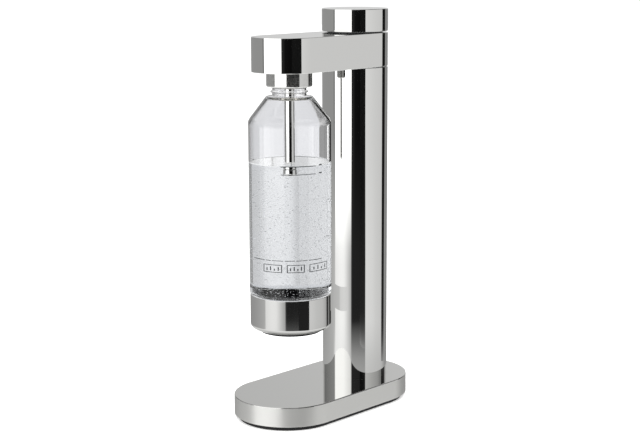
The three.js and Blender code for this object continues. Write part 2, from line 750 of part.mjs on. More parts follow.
function makeNozzle() {
  const profile = [
    [gasBore, nozzleTop],
    [gasBore, tubeTop + seatGap],
    [tubeRadius + seatGap, tubeTop + seatGap],
    [tubeRadius + seatGap, nozzleBottom],
    [nozzleSpigot, nozzleBottom],
    [nozzleSpigot, deckBottom],
    [nozzleFlange, deckBottom],
    [nozzleFlange, deckTop],
    [nozzleInlet, deckTop],
    [nozzleInlet, nozzleTop],
    [gasBore, nozzleTop],
  ];
  let block = turned(profile, mediumFacets, 0, bottleY);
  block = block.subtract(hole(pipeRadius + fitGap, 0, bottleY, nozzleTop - pipeSocket, nozzleTop + overrun));
  for (const [x, y] of nozzleScrewPlaces) {
    block = block.subtract(hole(lightScrew.shank + fitGap, x, y, deckBottom - overrun, deckTop + overrun));
  }
  const reliefY = bottleY - reliefOffset;
  block = block.subtract(hole(reliefPort, 0, reliefY, deckTop - deckFlange / 2, deckTop + overrun));
  piece('nozzle_block', block, 'brass');
  nozzleScrewPlaces.forEach(([x, y], i) => {
    const seat = deckTop + seatGap;
    const length = seat - insertTop + insertDisc / 2;
    piece(`nozzle_screw_${i + 1}`, screw(lightScrew, x, y, seat, length), 'springSteel');
  });

  const reliefBottom = deckTop + seatGap;
  const reliefTop = reliefBottom + reliefHeight;
  const bodyProfile = [
    [reliefPort, reliefBottom],
    [reliefRadius, reliefBottom],
    [reliefRadius, reliefTop],
    [reliefBore, reliefTop],
    [reliefBore, reliefBottom + reliefFloor],
    [reliefPort, reliefBottom + reliefFloor],
    [reliefPort, reliefBottom],
  ];
  piece('relief_body', turned(bodyProfile, smallFacets, 0, reliefY), 'brass');
  const poppetBottom = reliefBottom + reliefFloor + seatGap;
  const poppetTop = poppetBottom + poppetHeight;
  const plugBottom = reliefTop - reliefPlugHeight;
  const poppetRadius = reliefBore - fitGap;
  piece('relief_poppet', ring(poppetRadius, 0, poppetBottom, poppetTop, smallFacets, 0, reliefY),
    'blackRubber');
  const coilRadius = poppetRadius - 2 * reliefWire;
  piece('relief_spring', coil(coilRadius, reliefWire, poppetTop + seatGap, plugBottom - seatGap,
    reliefTurns, 0, reliefY), 'springSteel');
  piece('relief_plug', ring(reliefBore - fitGap, reliefPort, plugBottom, reliefTop,
    smallFacets, 0, reliefY), 'brass');

  const tipTop = tipBottom + tipHeight;
  const tubeProfile = [
    [tubeBore, tubeBottom],
    [tubeSpigot, tubeBottom],
    [tubeSpigot, tipTop + seatGap],
    [tubeRadius, tipTop + seatGap],
    [tubeRadius, tubeTop],
    [tubeBore, tubeTop],
    [tubeBore, tubeBottom],
  ];
  piece('gas_tube', turned(tubeProfile, mediumFacets, 0, bottleY), 'polishedSteel');
  const tipProfile = [
    [reliefPort, tipBottom],
    ...arc(tipRadius - tipRound, tipBottom + tipRound, tipRound, tipRound, -Math.PI / 2, 0, 3),
    [tipRadius, tipTop - tipRound / 2],
    [tipRadius - tipRound / 4, tipTop],
    [tubeSpigot + seatGap, tipTop],
    [tubeSpigot + seatGap, tubeBottom - seatGap],
    [reliefPort, tubeBottom - seatGap],
    [reliefPort, tipBottom],
  ];
  piece('nozzle_tip', turned(tipProfile, mediumFacets, 0, bottleY), 'polishedSteel');
}

function makeCollar() {
  const discBottom = collarTop - collarDisc;
  const profile = [
    [spigotHole, collarTop],
    [spigotHole, discBottom],
    [collarInner, discBottom],
    [collarInner, collarBottom],
    ...arc(collarRadius - collarRound, collarBottom + collarRound, collarRound, collarRound,
      -Math.PI / 2, 0, 3),
    [collarRadius, collarTop],
    [spigotHole, collarTop],
  ];
  let collar = turned(profile, largeFacets, 0, bottleY);
  const insertProfile = [
    [spigotHole, insertTop],
    [spigotHole, insertCeiling],
    [insertInner, insertCeiling],
    [insertInner, collarBottom + insertRecess],
    [insertRadius, collarBottom + insertRecess],
    [insertRadius, insertTop],
    [spigotHole, insertTop],
  ];
  let insert = turned(insertProfile, largeFacets, 0, bottleY);
  for (const [x, y] of nozzleScrewPlaces) {
    collar = collar.subtract(hole(lightScrew.shank + fitGap, x, y, insertTop, collarTop + overrun));
    insert = insert.subtract(hole(lightScrew.shank + fitGap / 2, x, y,
      insertTop - insertDisc / 2 - fitGap, insertTop + overrun));
  }
  piece('bottle_collar', collar, 'polishedSteel');
  piece('collar_insert', insert, 'greyPlastic');
  piece('bottle_seal', ring(threadRadius, spigotHole + fitGap, sealTop - sealThickness, sealTop,
    mediumFacets, 0, bottleY), 'silicone');
}

function makeBottle() {
  const neckInner = neckRadius - neckWall;
  const bodyInner = bottleRadius - bottleWall;
  const waistInner = waistRadius - bottleWall;
  const edgeInner = shoulderEdge - bottleWall;
  const corner = bottleCorner;
  const innerCorner = corner - bottleWall;
  const stepZ = cupRim + bottleStep;
  const threads = [];
  for (let i = 0; i < threadCount; i += 1) {
    const z = shoulderZ + threadPitch * (i + 1);
    threads.push([neckRadius, z - threadHeight / 2]);
    threads.push([threadRadius, z - threadHeight / 4]);
    threads.push([threadRadius, z + threadHeight / 4]);
    threads.push([neckRadius, z + threadHeight / 2]);
  }
  const turnStart = coneZ - bottleTurn;
  const coneLean = (bottleRadius - shoulderEdge) / coneHeight;
  const turnTop = coneZ + bottleTurn;
  const profile = [
    [0, bottleBottom],
    ...arc(waistRadius - corner, bottleBottom + corner, corner, corner, -Math.PI / 2, 0, 3),
    [waistRadius, cupRim - bottleStep / 2],
    [bottleRadius, stepZ],
    [bottleRadius, turnStart],
    [bottleRadius - coneLean * bottleTurn / 4, coneZ],
    [bottleRadius - coneLean * bottleTurn, turnTop],
    [shoulderEdge, shoulderZ],
    [neckRadius, shoulderZ + bottleWall / 2],
    ...threads,
    [neckRadius, mouthZ],
    [neckInner, mouthZ],
    [neckInner, shoulderZ - bottleWall],
    [edgeInner, shoulderZ - 2 * bottleWall],
    [bodyInner - coneLean * bottleTurn, turnTop - bottleWall],
    [bodyInner, turnStart - bottleWall],
    [bodyInner, stepZ + bottleWall],
    [waistInner, cupRim - bottleStep / 2 + bottleWall],
    ...arc(waistInner - innerCorner, bottleBottom + bottleWall + innerCorner, innerCorner, innerCorner,
      0, -Math.PI / 2, 3),
    [0, bottleBottom + bottleWall],
  ];
  piece('bottle_body', turned(profile, largeFacets, 0, bottleY), 'clearPlastic');

  const cupProfile = [
    [0, cupBottom],
    ...arc(cupRadius - cupRound, cupBottom + cupRound, cupRound, cupRound, -Math.PI / 2, 0, 4),
    [cupRadius, cupRim],
    [cupInner, cupRim],
    ...arc(cupInner - cupRound + cupWall, cupBottom + cupRound, cupRound - cupWall, cupRound - cupWall,
      0, -Math.PI / 2, 4),
    [0, cupBottom + cupWall],
  ];
  piece('bottle_cup', turned(cupProfile, largeFacets, 0, bottleY), 'polishedSteel');
  const linerRound = cupRound - cupWall;
  const linerInnerRound = linerRound - linerWall / 2;
  const linerProfile = [
    [0, linerBottom],
    ...arc(linerRadius - linerRound, linerBottom + linerRound, linerRound, linerRound, -Math.PI / 2, 0, 3),
    [linerRadius, cupRim - bottleStep],
    [linerInner, cupRim - bottleStep],
    ...arc(linerInner - linerInnerRound, linerBottom + linerFloor + linerInnerRound, linerInnerRound,
      linerInnerRound, 0, -Math.PI / 2, 3),
    [0, linerBottom + linerFloor],
  ];
  piece('cup_liner', turned(linerProfile, largeFacets, 0, bottleY), 'blackPlastic');
  piece('bottle_foot', ring(cupRadius - padInset, 0, bottleFootTop - bottleFootHeight, bottleFootTop,
    largeFacets, 0, bottleY), 'blackRubber');
}

function makeCap() {
  const profile = [
    [columnInner, capBottom],
    [barrelRadius, capBottom],
    [barrelRadius, totalHeight - edgeBevel],
    [barrelRadius - edgeBevel, totalHeight],
    [0, totalHeight],
    [0, capRoof],
    [columnInner, capRoof],
    [columnInner, capBottom],
  ];
  piece('press_cap', turned(profile, largeFacets, 0, columnY), 'polishedSteel');

  const bossBottom = carrierRoofBottom - carrierBossDepth;
  const skirtBottom = capBottom + carrierLift;
  const stemBottom = pinTop + fitGap;
  const ringMiddle = valveBodyTop - 2 * stemRadius;
  const groove = stemRadius - sealRing - fitGap;
  const carrier = [
    [0, stemBottom],
    [stemRadius, stemBottom],
    [stemRadius, ringMiddle - sealRing - seatGap],
    [groove, ringMiddle - sealRing - seatGap],
    [groove, ringMiddle + sealRing + seatGap],
    [stemRadius, ringMiddle + sealRing + seatGap],
    [stemRadius, bossBottom],
    [carrierBoss, bossBottom],
    [carrierBoss, carrierRoofBottom],
    [carrierInner, carrierRoofBottom],
    [carrierInner, skirtBottom],
    [carrierRadius, skirtBottom],
    [carrierRadius, carrierRoofTop],
    [0, carrierRoofTop],
  ];
  piece('cap_carrier', turned(carrier, mediumFacets, 0, columnY), 'blackPlastic');
  const ringCore = (groove + stemRadius) / 2 + seatGap;
  const ringPoints = arc(ringCore, ringMiddle, sealRing * sealSquashShare, sealRing, 0, 2 * Math.PI, 6);
  piece('stem_seal', turned(ringPoints, smallFacets, 0, columnY), 'silicone');

  const guideProfile = [
    [stemRadius + runGap, guideBottom],
    [guideRadius, guideBottom],
    [guideRadius, guideBottom + guideHeight],
    [guideRadius - guideWall, guideBottom + guideHeight],
    [guideRadius - guideWall, guideFloorTop],
    [stemRadius + runGap, guideFloorTop],
    [stemRadius + runGap, guideBottom],
  ];
  let guide = turned(guideProfile, mediumFacets, 0, columnY);
  for (const [x, y] of guideScrewPlaces) {
    guide = guide.subtract(hole(lightScrew.shank + fitGap, x, y, guideBottom - overrun,
      guideFloorTop + overrun));
  }
  piece('cap_guide', guide, 'greyPlastic');
  guideScrewPlaces.forEach(([x, y], i) => {
    const made = screw(lightScrew, x, y, guideFloorTop + seatGap, screwHold);
    piece(`guide_screw_${i + 1}`, made, 'springSteel');
  });
  piece('cap_spring', coil(springRadius, springWire, guideFloorTop + seatGap, carrierRoofBottom - seatGap,
    springTurns, 0, columnY), 'springSteel');
}

makeBase();
makeHatch();
makeColumn();
makeGasCylinder();
makeArm();
makeValveBody();
makePipe();
makeNozzle();
makeCollar();
makeBottle();
makeCap();

export default machine;
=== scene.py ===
import json
import math
import random

import bpy
from mathutils import Matrix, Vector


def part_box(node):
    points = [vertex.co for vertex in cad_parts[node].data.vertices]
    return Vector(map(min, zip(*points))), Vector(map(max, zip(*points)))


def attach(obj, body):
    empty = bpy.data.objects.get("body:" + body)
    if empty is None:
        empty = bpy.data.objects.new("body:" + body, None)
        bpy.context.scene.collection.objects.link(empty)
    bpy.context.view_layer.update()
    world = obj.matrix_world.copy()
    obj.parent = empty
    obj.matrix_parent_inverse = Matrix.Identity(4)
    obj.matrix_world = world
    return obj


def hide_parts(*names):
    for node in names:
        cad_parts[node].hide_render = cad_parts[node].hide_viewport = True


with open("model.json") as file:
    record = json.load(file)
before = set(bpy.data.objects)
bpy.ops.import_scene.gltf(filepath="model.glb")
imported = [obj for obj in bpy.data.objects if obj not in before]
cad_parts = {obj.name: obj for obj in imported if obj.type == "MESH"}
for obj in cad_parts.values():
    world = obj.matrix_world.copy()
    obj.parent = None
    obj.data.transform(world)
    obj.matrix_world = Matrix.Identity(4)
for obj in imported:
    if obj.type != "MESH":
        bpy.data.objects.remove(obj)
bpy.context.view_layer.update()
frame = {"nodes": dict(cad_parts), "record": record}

mm = 0.001


# Colours and nodes

def toLinear(hexColour):
    channels = [int(hexColour[i:i + 2], 16) / 255 for i in (1, 3, 5)]
    return (*(c / 12.92 if c <= 0.04045 else ((c + 0.055) / 1.055) ** 2.4 for c in channels), 1.0)


def grey(level):
    return (level, level, level, 1)


def addNode(tree, kind, settings=None):     # links the sockets given, sets the other inputs and properties
    node = tree.nodes.new(kind)
    for name, value in (settings or {}).items():
        if isinstance(value, bpy.types.NodeSocket):
            tree.links.new(value, node.inputs[name])
        elif isinstance(name, int) or name in node.inputs:
            node.inputs[name].default_value = value
        else:
            setattr(node, name, value)
    return node


def compute(tree, operation, *values, **settings):
    return addNode(tree, "ShaderNodeMath", {"operation": operation, **dict(enumerate(values)), **settings}).outputs[0]


def addRamp(tree, source, stops):
    ramp = addNode(tree, "ShaderNodeValToRGB", {"Fac": source})
    elements = ramp.color_ramp.elements
    while len(elements) < len(stops):
        elements.new(0.5)
    for element, (position, colour) in zip(elements, sorted(stops, key=lambda stop: stop[0])):
        element.position = position
        element.color = colour
    return ramp.outputs["Color"]


def startMaterial(name, settings):     # colours are given as hex strings
    material = bpy.data.materials.new(name)
    material.use_nodes = True
    tree = material.node_tree
    tree.nodes.clear()
    constants = {key: toLinear(value) if isinstance(value, str) else value for key, value in settings.items()}
    surface = addNode(tree, "ShaderNodeBsdfPrincipled", constants)
    addNode(tree, "ShaderNodeOutputMaterial", {"Surface": surface.outputs["BSDF"]})
    place = addNode(tree, "ShaderNodeTexCoord").outputs["Object"]
    return material, tree, surface, place


noiseRoughness = 0.55


def addNoise(tree, place, sizeMm, detail, stretch=(1, 1, 1)):
    scaled = addNode(tree, "ShaderNodeMapping", {"Scale": stretch, "Vector": place}).outputs["Vector"]
    settings = {"Scale": 1 / (sizeMm * mm), "Detail": detail, "Roughness": noiseRoughness, "Vector": scaled}
    return addNode(tree, "ShaderNodeTexNoise", settings).outputs["Fac"]


def tint(tree, surface, source, dark, light, ends=(0.3, 0.7)):     # the base colour runs between two shades
    shade = addRamp(tree, source, list(zip(ends, (toLinear(dark), toLinear(light)))))
    tree.links.new(shade, surface.inputs["Base Color"])


def roughen(tree, surface, source, low, high):
    spread = addNode(tree, "ShaderNodeMapRange", {"To Min": low, "To Max": high, "Value": source})
    tree.links.new(spread.outputs["Result"], surface.inputs["Roughness"])


def addMaterial(name, settings, grain, roughness, shades=None, bump=None, bumpGrain=None):
    material, tree, surface, place = startMaterial(name, settings)
    pattern = addNoise(tree, place, *grain)
    roughen(tree, surface, pattern, *roughness)
    if shades:
        tint(tree, surface, pattern, *shades)
    if bump:
        height = addNoise(tree, place, *bumpGrain) if bumpGrain else pattern
        relief = addNode(tree, "ShaderNodeBump", {"Distance": bump[0] * mm, "Strength": bump[1], "Height": height})
        tree.links.new(relief.outputs["Normal"], surface.inputs["Normal"])
    return material


def surfaceOf(material):
    return material.node_tree, material.node_tree.nodes["Principled BSDF"]


# Materials, each from what the real one is: its constants, its noise (size in mm, detail, stretch), the spread
# of its roughness, the two shades of its colour and its bump (depth in mm, strength)

def satinSteel():
    material = addMaterial(
        "satin_ground_stainless_steel",
        {"Metallic": 1.0, "Base Color": "#E2E2DF", "Anisotropic": 0.8, "Anisotropic Rotation": 0.25},
        (0.8, 3.0, (0.15, 0.15, 2.2)), (0.42, 0.5))
    tree, surface = surfaceOf(material)
    normal = addNode(tree, "ShaderNodeNewGeometry").outputs["Normal"]
    level = addNode(tree, "ShaderNodeVectorMath", {"operation": "CROSS_PRODUCT", 0: normal, 1: (0, 0, 1)})
    tree.links.new(level.outputs["Vector"], surface.inputs["Tangent"])     # the way the belt ran
    return material


# painted shade on the cup: its base colour darkens over the lowest few millimetres, up the rounded bottom edge
cupLookValues = {
    "paintedShadeMm": 5.2, "shades": [
        (0.0, "#303030"), (0.09, "#5A5A59"), (0.2, "#B2B2B0"), (0.65, "#B2B2B0"), (0.9, "#D9D9D7")]}


def cupSteel():
    material = addMaterial("deep_drawn_stainless_steel_painted_shade", {"Metallic": 1.0}, (9, 3.0, (1, 1, 0.3)), (0.03, 0.055))
    tree, surface = surfaceOf(material)
    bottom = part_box("bottle_cup")[0].z
    place = addNode(tree, "ShaderNodeTexCoord").outputs["Object"]
    height = addNode(tree, "ShaderNodeSeparateXYZ", {"Vector": place}).outputs["Z"]
    # painted shade: the share of the way up the cup's lowest few millimetres picks a darker colour near the bottom
    drawn = addNode(tree, "ShaderNodeMapRange", {
        "From Min": bottom, "From Max": bottom + cupLookValues["paintedShadeMm"] * mm, "Value": height})
    shade = addRamp(tree, drawn.outputs["Result"], [(at, toLinear(tone)) for at, tone in cupLookValues["shades"]])
    tree.links.new(shade, surface.inputs["Base Color"])
    return material


clearWall = {"Base Color": "#FBFBFC", "Transmission Weight": 1.0, "IOR": 1.54}
wallWaves = ((11, 2.0, (1, 1, 0.6)), (0.0, 0.012))

slotMaterials = {
    # stainless steel, buffed to a mirror: crisp reflections, faint haze from the wheel
    "polished_steel": addMaterial(
        "mirror_polished_stainless_steel", {"Metallic": 1.0, "Base Color": "#E8E8E6"},
        (14, 4.0, (1, 1, 0.25)), (0.012, 0.04)),
    # stainless steel, belt ground along the wall: highlights drawn out upright, fine level lines
    "satin_steel": satinSteel(),
    # rolled sheet as it leaves the mill: grey, half dull, with faint rolling streaks
    "inner_steel": addMaterial(
        "mill_finished_steel", {"Metallic": 1.0, "Base Color": "#B9BBBC"},
        (2.5, 4.0, (1, 0.08, 1)), (0.34, 0.5), bump=(0.01, 0.3)),
    # sand cast grey iron: dark, grainy skin with a dull sheen
    "cast_iron": addMaterial(
        "sand_cast_grey_iron", {"Metallic": 0.7}, (1.1, 6.0), (0.55, 0.8), ("#2E2F31", "#55565A"), (0.12, 0.7)),
    # die cast aluminium: pale grey, smooth, with soft cloudy patches
    "aluminium": addMaterial(
        "die_cast_aluminium", {"Metallic": 1.0, "Base Color": "#C4C7C9"},
        (6, 5.0), (0.38, 0.6), bump=(0.02, 0.35), bumpGrain=(0.7, 3.0)),
    # brass turned on a lathe: warm metal with fine rings round each part
    "brass": addMaterial(
        "turned_brass", {"Metallic": 1.0, "Base Color": "#D4B36A"},
        (0.6, 3.0, (0.1, 0.1, 2.5)), (0.2, 0.36), bump=(0.006, 0.4)),
    # zinc plated spring and screw steel: bright bluish grey with a slight cloud
    "spring_steel": addMaterial(
        "zinc_plated_steel", {"Metallic": 1.0, "Base Color": "#AEB3B8"}, (1.6, 4.0), (0.22, 0.4), bump=(0.008, 0.3)),
    # moulded nitrile rubber: deep matt black with a fine spark-eroded grain
    "black_rubber": addMaterial(
        "moulded_black_rubber", {"Specular IOR Level": 0.35}, (0.5, 3.0), (0.62, 0.82), ("#121213", "#1C1C1D"),
        (0.03, 0.5)),
    # moulded ABS, dyed black: even satin surface that takes a soft highlight
    "black_plastic": addMaterial(
        "moulded_black_abs", {"IOR": 1.53}, (0.4, 2.0), (0.36, 0.5), ("#17181A", "#222325"), (0.015, 0.35)),
    # moulded acetal: mid grey and waxy
    "grey_plastic": addMaterial(
        "moulded_grey_acetal", {"IOR": 1.48}, (0.6, 2.0), (0.34, 0.46), ("#76797B", "#868A8C"), (0.01, 0.3)),
    # pressed silicone: milky, soft, with light bleeding through thin edges
    "silicone": addMaterial(
        "pressed_milky_silicone",
        {"IOR": 1.41, "Subsurface Weight": 0.35, "Subsurface Radius": (0.002, 0.002, 0.0018)},
        (1.5, 3.0), (0.45, 0.6), ("#DAD9D3", "#E8E7E2")),
    # blown clear polyester: glass clear, the wall a little wavy from blowing
    "clear_plastic": addMaterial("blown_clear_polyester", clearWall, *wallWaves, bump=(0.05, 0.12)),
    # grey blue enamel, sprayed on steel: glossy with a faint orange peel
    "cylinder_paint": addMaterial(
        "sprayed_grey_enamel", {"Coat Weight": 0.3, "Coat Roughness": 0.12},
        (1.8, 3.0), (0.28, 0.4), ("#8793A0", "#97A3AE"), (0.02, 0.25)),
}

looks = {     # for single pieces, in place of their slot's
    # stainless steel, turned and buffed less: the same reflections with soft edges
    "collar": addMaterial(
        "soft_buffed_stainless_steel", {"Metallic": 0.96, "Base Color": "#DADAD8"},
        (1.5, 3.0, (0.1, 0.1, 1.4)), (0.08, 0.12), bump=(0.0015, 0.2)),
    # stainless steel, deep drawn and polished: crisp stripes, with painted shade that makes it greyer and darker
    # towards its rounded bottom edge
    "cup": cupSteel(),
    # stainless steel sheet, polished a little less: keeps the column's reflection, soft at its edges
    "baseTop": addMaterial(
        "polished_stainless_steel_sheet", {"Metallic": 1.0, "Base Color": "#D3D3D1"},
        (9, 4.0, (0.4, 1, 1)), (0.02, 0.04)),
    # brass, nickel plated: pale silver with a faint warm tint, half bright
    "nozzleBlock": addMaterial(
        "nickel_plated_brass", {"Metallic": 1.0, "Base Color": "#C9C6BE"},
        (0.8, 3.0, (0.1, 0.1, 2.5)), (0.16, 0.28), bump=(0.004, 0.3)),
    # moulded polypropylene, dyed deep black: the dark band that shows through the water
    "liner": addMaterial(
        "moulded_deep_black_polypropylene", {"Specular IOR Level": 0.08}, (0.5, 2.0), (0.6, 0.75),
        ("#111213", "#1C1D1E")),
    # the bottle's wall from inside, where the water wets it: next to no gloss of its own is left
    "wetted": addMaterial("water_wetted_polyester", {**clearWall, "Specular Tint": "#282828"}, *wallWaves),
    # carbonated water: colourless, turns the view behind it round and hardly mirrors inside its wall
    "water": addMaterial(
        "carbonated_water",
        {"Base Color": "#ECEEEF", "Transmission Weight": 1.0, "IOR": 1.333, "Specular Tint": "#404040"},
        (16, 1.0), (0.0, 0.01), bump=(0.03, 0.1)),
    # carbon dioxide bubbles: pale specks over black and fine grey ones over the sweep, lit by what they pass on and
    # brightened by a painted glow
    "bubbles": addMaterial(
        "carbon_dioxide_bubbles_painted_glow",
        # painted glow: a faint white emission makes the bubbles shine like highlights
        {"Base Color": "#E9EBED", "IOR": 1.33, "Emission Color": "#FFFFFF", "Emission Strength": 0.22},
        (0.8, 1.0), (0.0, 0.06)),
    # screen printed ink: thin, dull, uneven grey on the clear wall
    "ink": addMaterial(
        "screen_printed_grey_ink", {"Specular IOR Level": 0.3}, (0.7, 3.0), (0.5, 0.7),
        ("#242628", "#36393C", (0.25, 0.75))),
}

for subpart in frame["record"]["subparts"]:
    node = frame["nodes"][subpart["node"]]
    node.data.materials.clear()
    node.data.materials.append(slotMaterials[subpart["material_slot"]])
frame["nodes"]["nozzle_block"].data.materials[0] = looks["nozzleBlock"]     # the brass that the bottle's neck shows
print("stage: materials on all CAD nodes")


# Modelling

modelValues = {
    "smoothDegrees": 35, "weldMm": 0.002, "plateWeldMm": 0.01, "slackMm": 0.02,
    # rings close to the ends of a run, and to a plate's bevels, keep the shading of what is flat or straight
    "holdMm": 0.12, "shortestRun": 8, "plateHoldMm": 0.15,
    "bendSteps": 5, "endShare": 0.99999, "levelNormal": 0.99}


def inMetres(values):
    return {key[:-2]: value * mm for key, value in values.items() if key.endswith("Mm")}


general = inMetres(modelValues)


def placeOf(node):
    low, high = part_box(node)
    return {"x": (low.x + high.x) / 2, "y": (low.y + high.y) / 2, "radius": (high.x - low.x) / 2,
            "bottom": low.z, "top": high.z, "length": high.y - low.y}


def near(height, level):
    return abs(height - level) < general["slack"]


def deselectAll():
    if bpy.context.mode != "OBJECT":
        bpy.ops.object.mode_set(mode="OBJECT")
    bpy.ops.object.select_all(action="DESELECT")


def pickOnly(piece):
    deselectAll()
    piece.select_set(True)
    bpy.context.view_layer.objects.active = piece


def applyPlace(piece):
    pickOnly(piece)
    bpy.ops.object.transform_apply(location=True, rotation=True, scale=True)


def editAll():
    bpy.ops.object.mode_set(mode="EDIT")
    bpy.ops.mesh.select_all(action="SELECT")


def weldAndTurnOut(distance):     # joins what meets and turns all faces outward
    editAll()
    bpy.ops.mesh.remove_doubles(threshold=distance)
    bpy.ops.mesh.normals_make_consistent(inside=False)
    bpy.ops.object.mode_set(mode="OBJECT")


def closeAndSmooth(piece):
    weldAndTurnOut(general["weld"])
    applyPlace(piece)
    bpy.ops.object.shade_smooth_by_angle(
        angle=math.radians(modelValues["smoothDegrees"]), keep_sharp_edges=False)


def joinAll(pieces, name):
    deselectAll()
    for piece in pieces:
        piece.select_set(True)
    bpy.context.view_layer.objects.active = pieces[0]
    bpy.ops.object.join()
    joined = bpy.context.object
    joined.name = name
    return joined


def dress(piece, body, slot, *nodes, look=None, mirrored=True):
    piece.data.materials.clear()
    piece.data.materials.append(looks[look] if look else slotMaterials[slot])
    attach(piece, body)
    if nodes:
        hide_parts(*nodes)
    piece.visible_glossy = mirrored


def arcPoints(radius, height, size, fromAngle, toAngle, steps):
    angles = [math.radians(fromAngle + (toAngle - fromAngle) * i / steps) for i in range(steps + 1)]
    return [(radius + size * math.cos(angle), height + size * math.sin(angle)) for angle in angles]


def lowRound(outer, bottom, size, steps):     # from the underside up to the wall
    return arcPoints(outer - size, bottom + size, size, -90, 0, steps)


def topRound(outer, top, size, steps):     # from the wall over to the top
    return arcPoints(outer - size, top - size, size, 0, 90, steps)


def holdCorners(outline):
    points, gap = [outline[0]], general["hold"]
    for a, b in zip(outline, outline[1:]):
        length = math.hypot(b[0] - a[0], b[1] - a[1])
        if length > modelValues["shortestRun"] * gap:
            shares = [gap / length] * (a[0] > 0) + [1 - gap / length] * (b[0] > 0)
            points += [(a[0] + (b[0] - a[0]) * share, a[1] + (b[1] - a[1]) * share) for share in shares]
        points.append(b)
    return points


def turnPiece(name, outline, place, sides):     # a ring drawn out and scaled from point to point of its outline
    deselectAll()
    points = [(r, z) for r, z in holdCorners(outline) if r > 0]
    radius, height = points[0]
    bpy.ops.mesh.primitive_circle_add(
        vertices=sides, radius=radius, location=(place["x"], place["y"], height),
        fill_type="NGON" if outline[0][0] == 0 else "NOTHING")
    piece = bpy.context.object
    piece.name = name
    bpy.ops.object.mode_set(mode="EDIT")
    bpy.ops.mesh.select_mode(type="EDGE")
    bpy.ops.mesh.select_all(action="SELECT")
    for nextRadius, nextHeight in points[1:]:
        bpy.ops.mesh.extrude_edges_move(TRANSFORM_OT_translate={"value": (0, 0, nextHeight - height)})
        scale = nextRadius / radius
        bpy.ops.transform.resize(value=(scale, scale, 1), center_override=(place["x"], place["y"], nextHeight))
        radius, height = nextRadius, nextHeight
    if outline[-1][0] == 0:
        bpy.ops.mesh.edge_face_add()
    closeAndSmooth(piece)
    return piece


def bendPoints(before, corner, after, size):     # a soft corner between two straight runs of an outline
    ends = []
    for other in (before, after):
        run = (other[0] - corner[0], other[1] - corner[1])
        share = min(size / math.hypot(*run), 0.5)
        ends.append((corner[0] + run[0] * share, corner[1] + run[1] * share))
    points = []
    for i in range(modelValues["bendSteps"] + 1):
        t = i / modelValues["bendSteps"]
        weights = ((1 - t) ** 2, 2 * t * (1 - t), t ** 2)
        points.append(tuple(sum(w * p[k] for w, p in zip(weights, (ends[0], corner, ends[1]))) for k in (0, 1)))
    return points


def softOutline(corners):     # corners are (radius, height) or (radius, height, softness)
    points = [corners[0][:2]]
    for before, corner, after in zip(corners, corners[1:], corners[2:]):
        points += bendPoints(before, corner, after, corner[2]) if len(corner) == 3 else [corner]
    return [*points, corners[-1][:2]]


def selectWhere(piece, kind, test):     # selects faces or edges by their place or normal
    bpy.ops.object.mode_set(mode="EDIT")
    bpy.ops.mesh.select_mode(type=kind)
    bpy.ops.mesh.select_all(action="DESELECT")
    bpy.ops.object.mode_set(mode="OBJECT")
    mesh = piece.data
    if kind == "FACE":
        for face in mesh.polygons:
            face.select = test(face)
    else:
        for edge in mesh.edges:
            edge.select = all(test(mesh.vertices[i].co) for i in edge.vertices)
    bpy.ops.object.mode_set(mode="EDIT")


def giveSecondLook(piece, look, test):
    piece.data.materials.append(looks[look])
    selectWhere(piece, "FACE", test)
    piece.active_material_index = 1
    bpy.ops.object.material_slot_assign()
    bpy.ops.object.mode_set(mode="OBJECT")


def addPanel(place, rotation, width, height):
    deselectAll()
    bpy.ops.mesh.primitive_plane_add(size=1, location=place, rotation=rotation)
    panel = bpy.context.object
    panel.scale = (width, height, 1)
    applyPlace(panel)
    return panel


def roundPlate(name, place, sides):     # a slab whose two ends are half rounds
    rise = (0, 0, place["top"] - place["bottom"])
    piece = addPanel((place["x"], place["y"], place["bottom"]), (0, 0, 0), 2 * place["radius"], place["length"])
    piece.name = name
    editAll()
    bpy.ops.mesh.bevel(
        offset=place["radius"] * modelValues["endShare"], segments=sides, affect="VERTICES", clamp_overlap=False)
    bpy.ops.mesh.select_all(action="SELECT")
    bpy.ops.mesh.remove_doubles(threshold=general["plateWeld"])
    bpy.ops.mesh.extrude_region_move(TRANSFORM_OT_translate={"value": rise})
    bpy.ops.mesh.select_all(action="SELECT")
    bpy.ops.mesh.normals_make_consistent(inside=False)
    bpy.ops.object.mode_set(mode="OBJECT")
    return piece


def straightHalf(place):     # half the length of a plate's straight sides
    return place["length"] / 2 - place["radius"]


def hollowPlate(piece, place, wall):     # insets the underside and pushes it up
    selectWhere(piece, "FACE", lambda face: face.normal.z < 0 and near(face.center.z, place["bottom"]))
    bpy.ops.mesh.inset(thickness=wall, use_even_offset=True)
    rise = (0, 0, place["top"] - wall - place["bottom"])
    bpy.ops.mesh.extrude_region_move(TRANSFORM_OT_translate={"value": rise})
    bpy.ops.object.mode_set(mode="OBJECT")


def bevelLevel(piece, place, level, size, segments, wall):     # bevels the outer edges at one height
    def onRim(point):
        along = max(abs(point.y - place["y"]) - straightHalf(place), 0)
        outside = math.hypot(point.x - place["x"], along) > place["radius"] - wall / 2
        return near(point.z, level) and outside
    selectWhere(piece, "EDGE", onRim)
    bpy.ops.mesh.bevel(offset=size, segments=segments, affect="EDGES")
    bpy.ops.object.mode_set(mode="OBJECT")


def holdPlate(piece, place, edge, lowEdge):     # cuts that change no shape, beside the plate's bevels
    gap = general["plateHold"]
    half = straightHalf(place) - gap
    cuts = [((0, 0, place["top"] - edge - gap), (0, 0, 1)), ((0, 0, place["bottom"] + lowEdge + gap), (0, 0, 1)),
            ((0, place["y"] - half, 0), (0, 1, 0)), ((0, place["y"] + half, 0), (0, 1, 0))]
    selectWhere(piece, "FACE", lambda face: face.normal.z > modelValues["levelNormal"]
                and near(face.center.z, place["top"]))
    bpy.ops.mesh.inset(thickness=gap)
    for point, normal in cuts:
        bpy.ops.mesh.select_all(action="SELECT")
        bpy.ops.mesh.bisect(plane_co=point, plane_no=normal)
    bpy.ops.object.mode_set(mode="OBJECT")


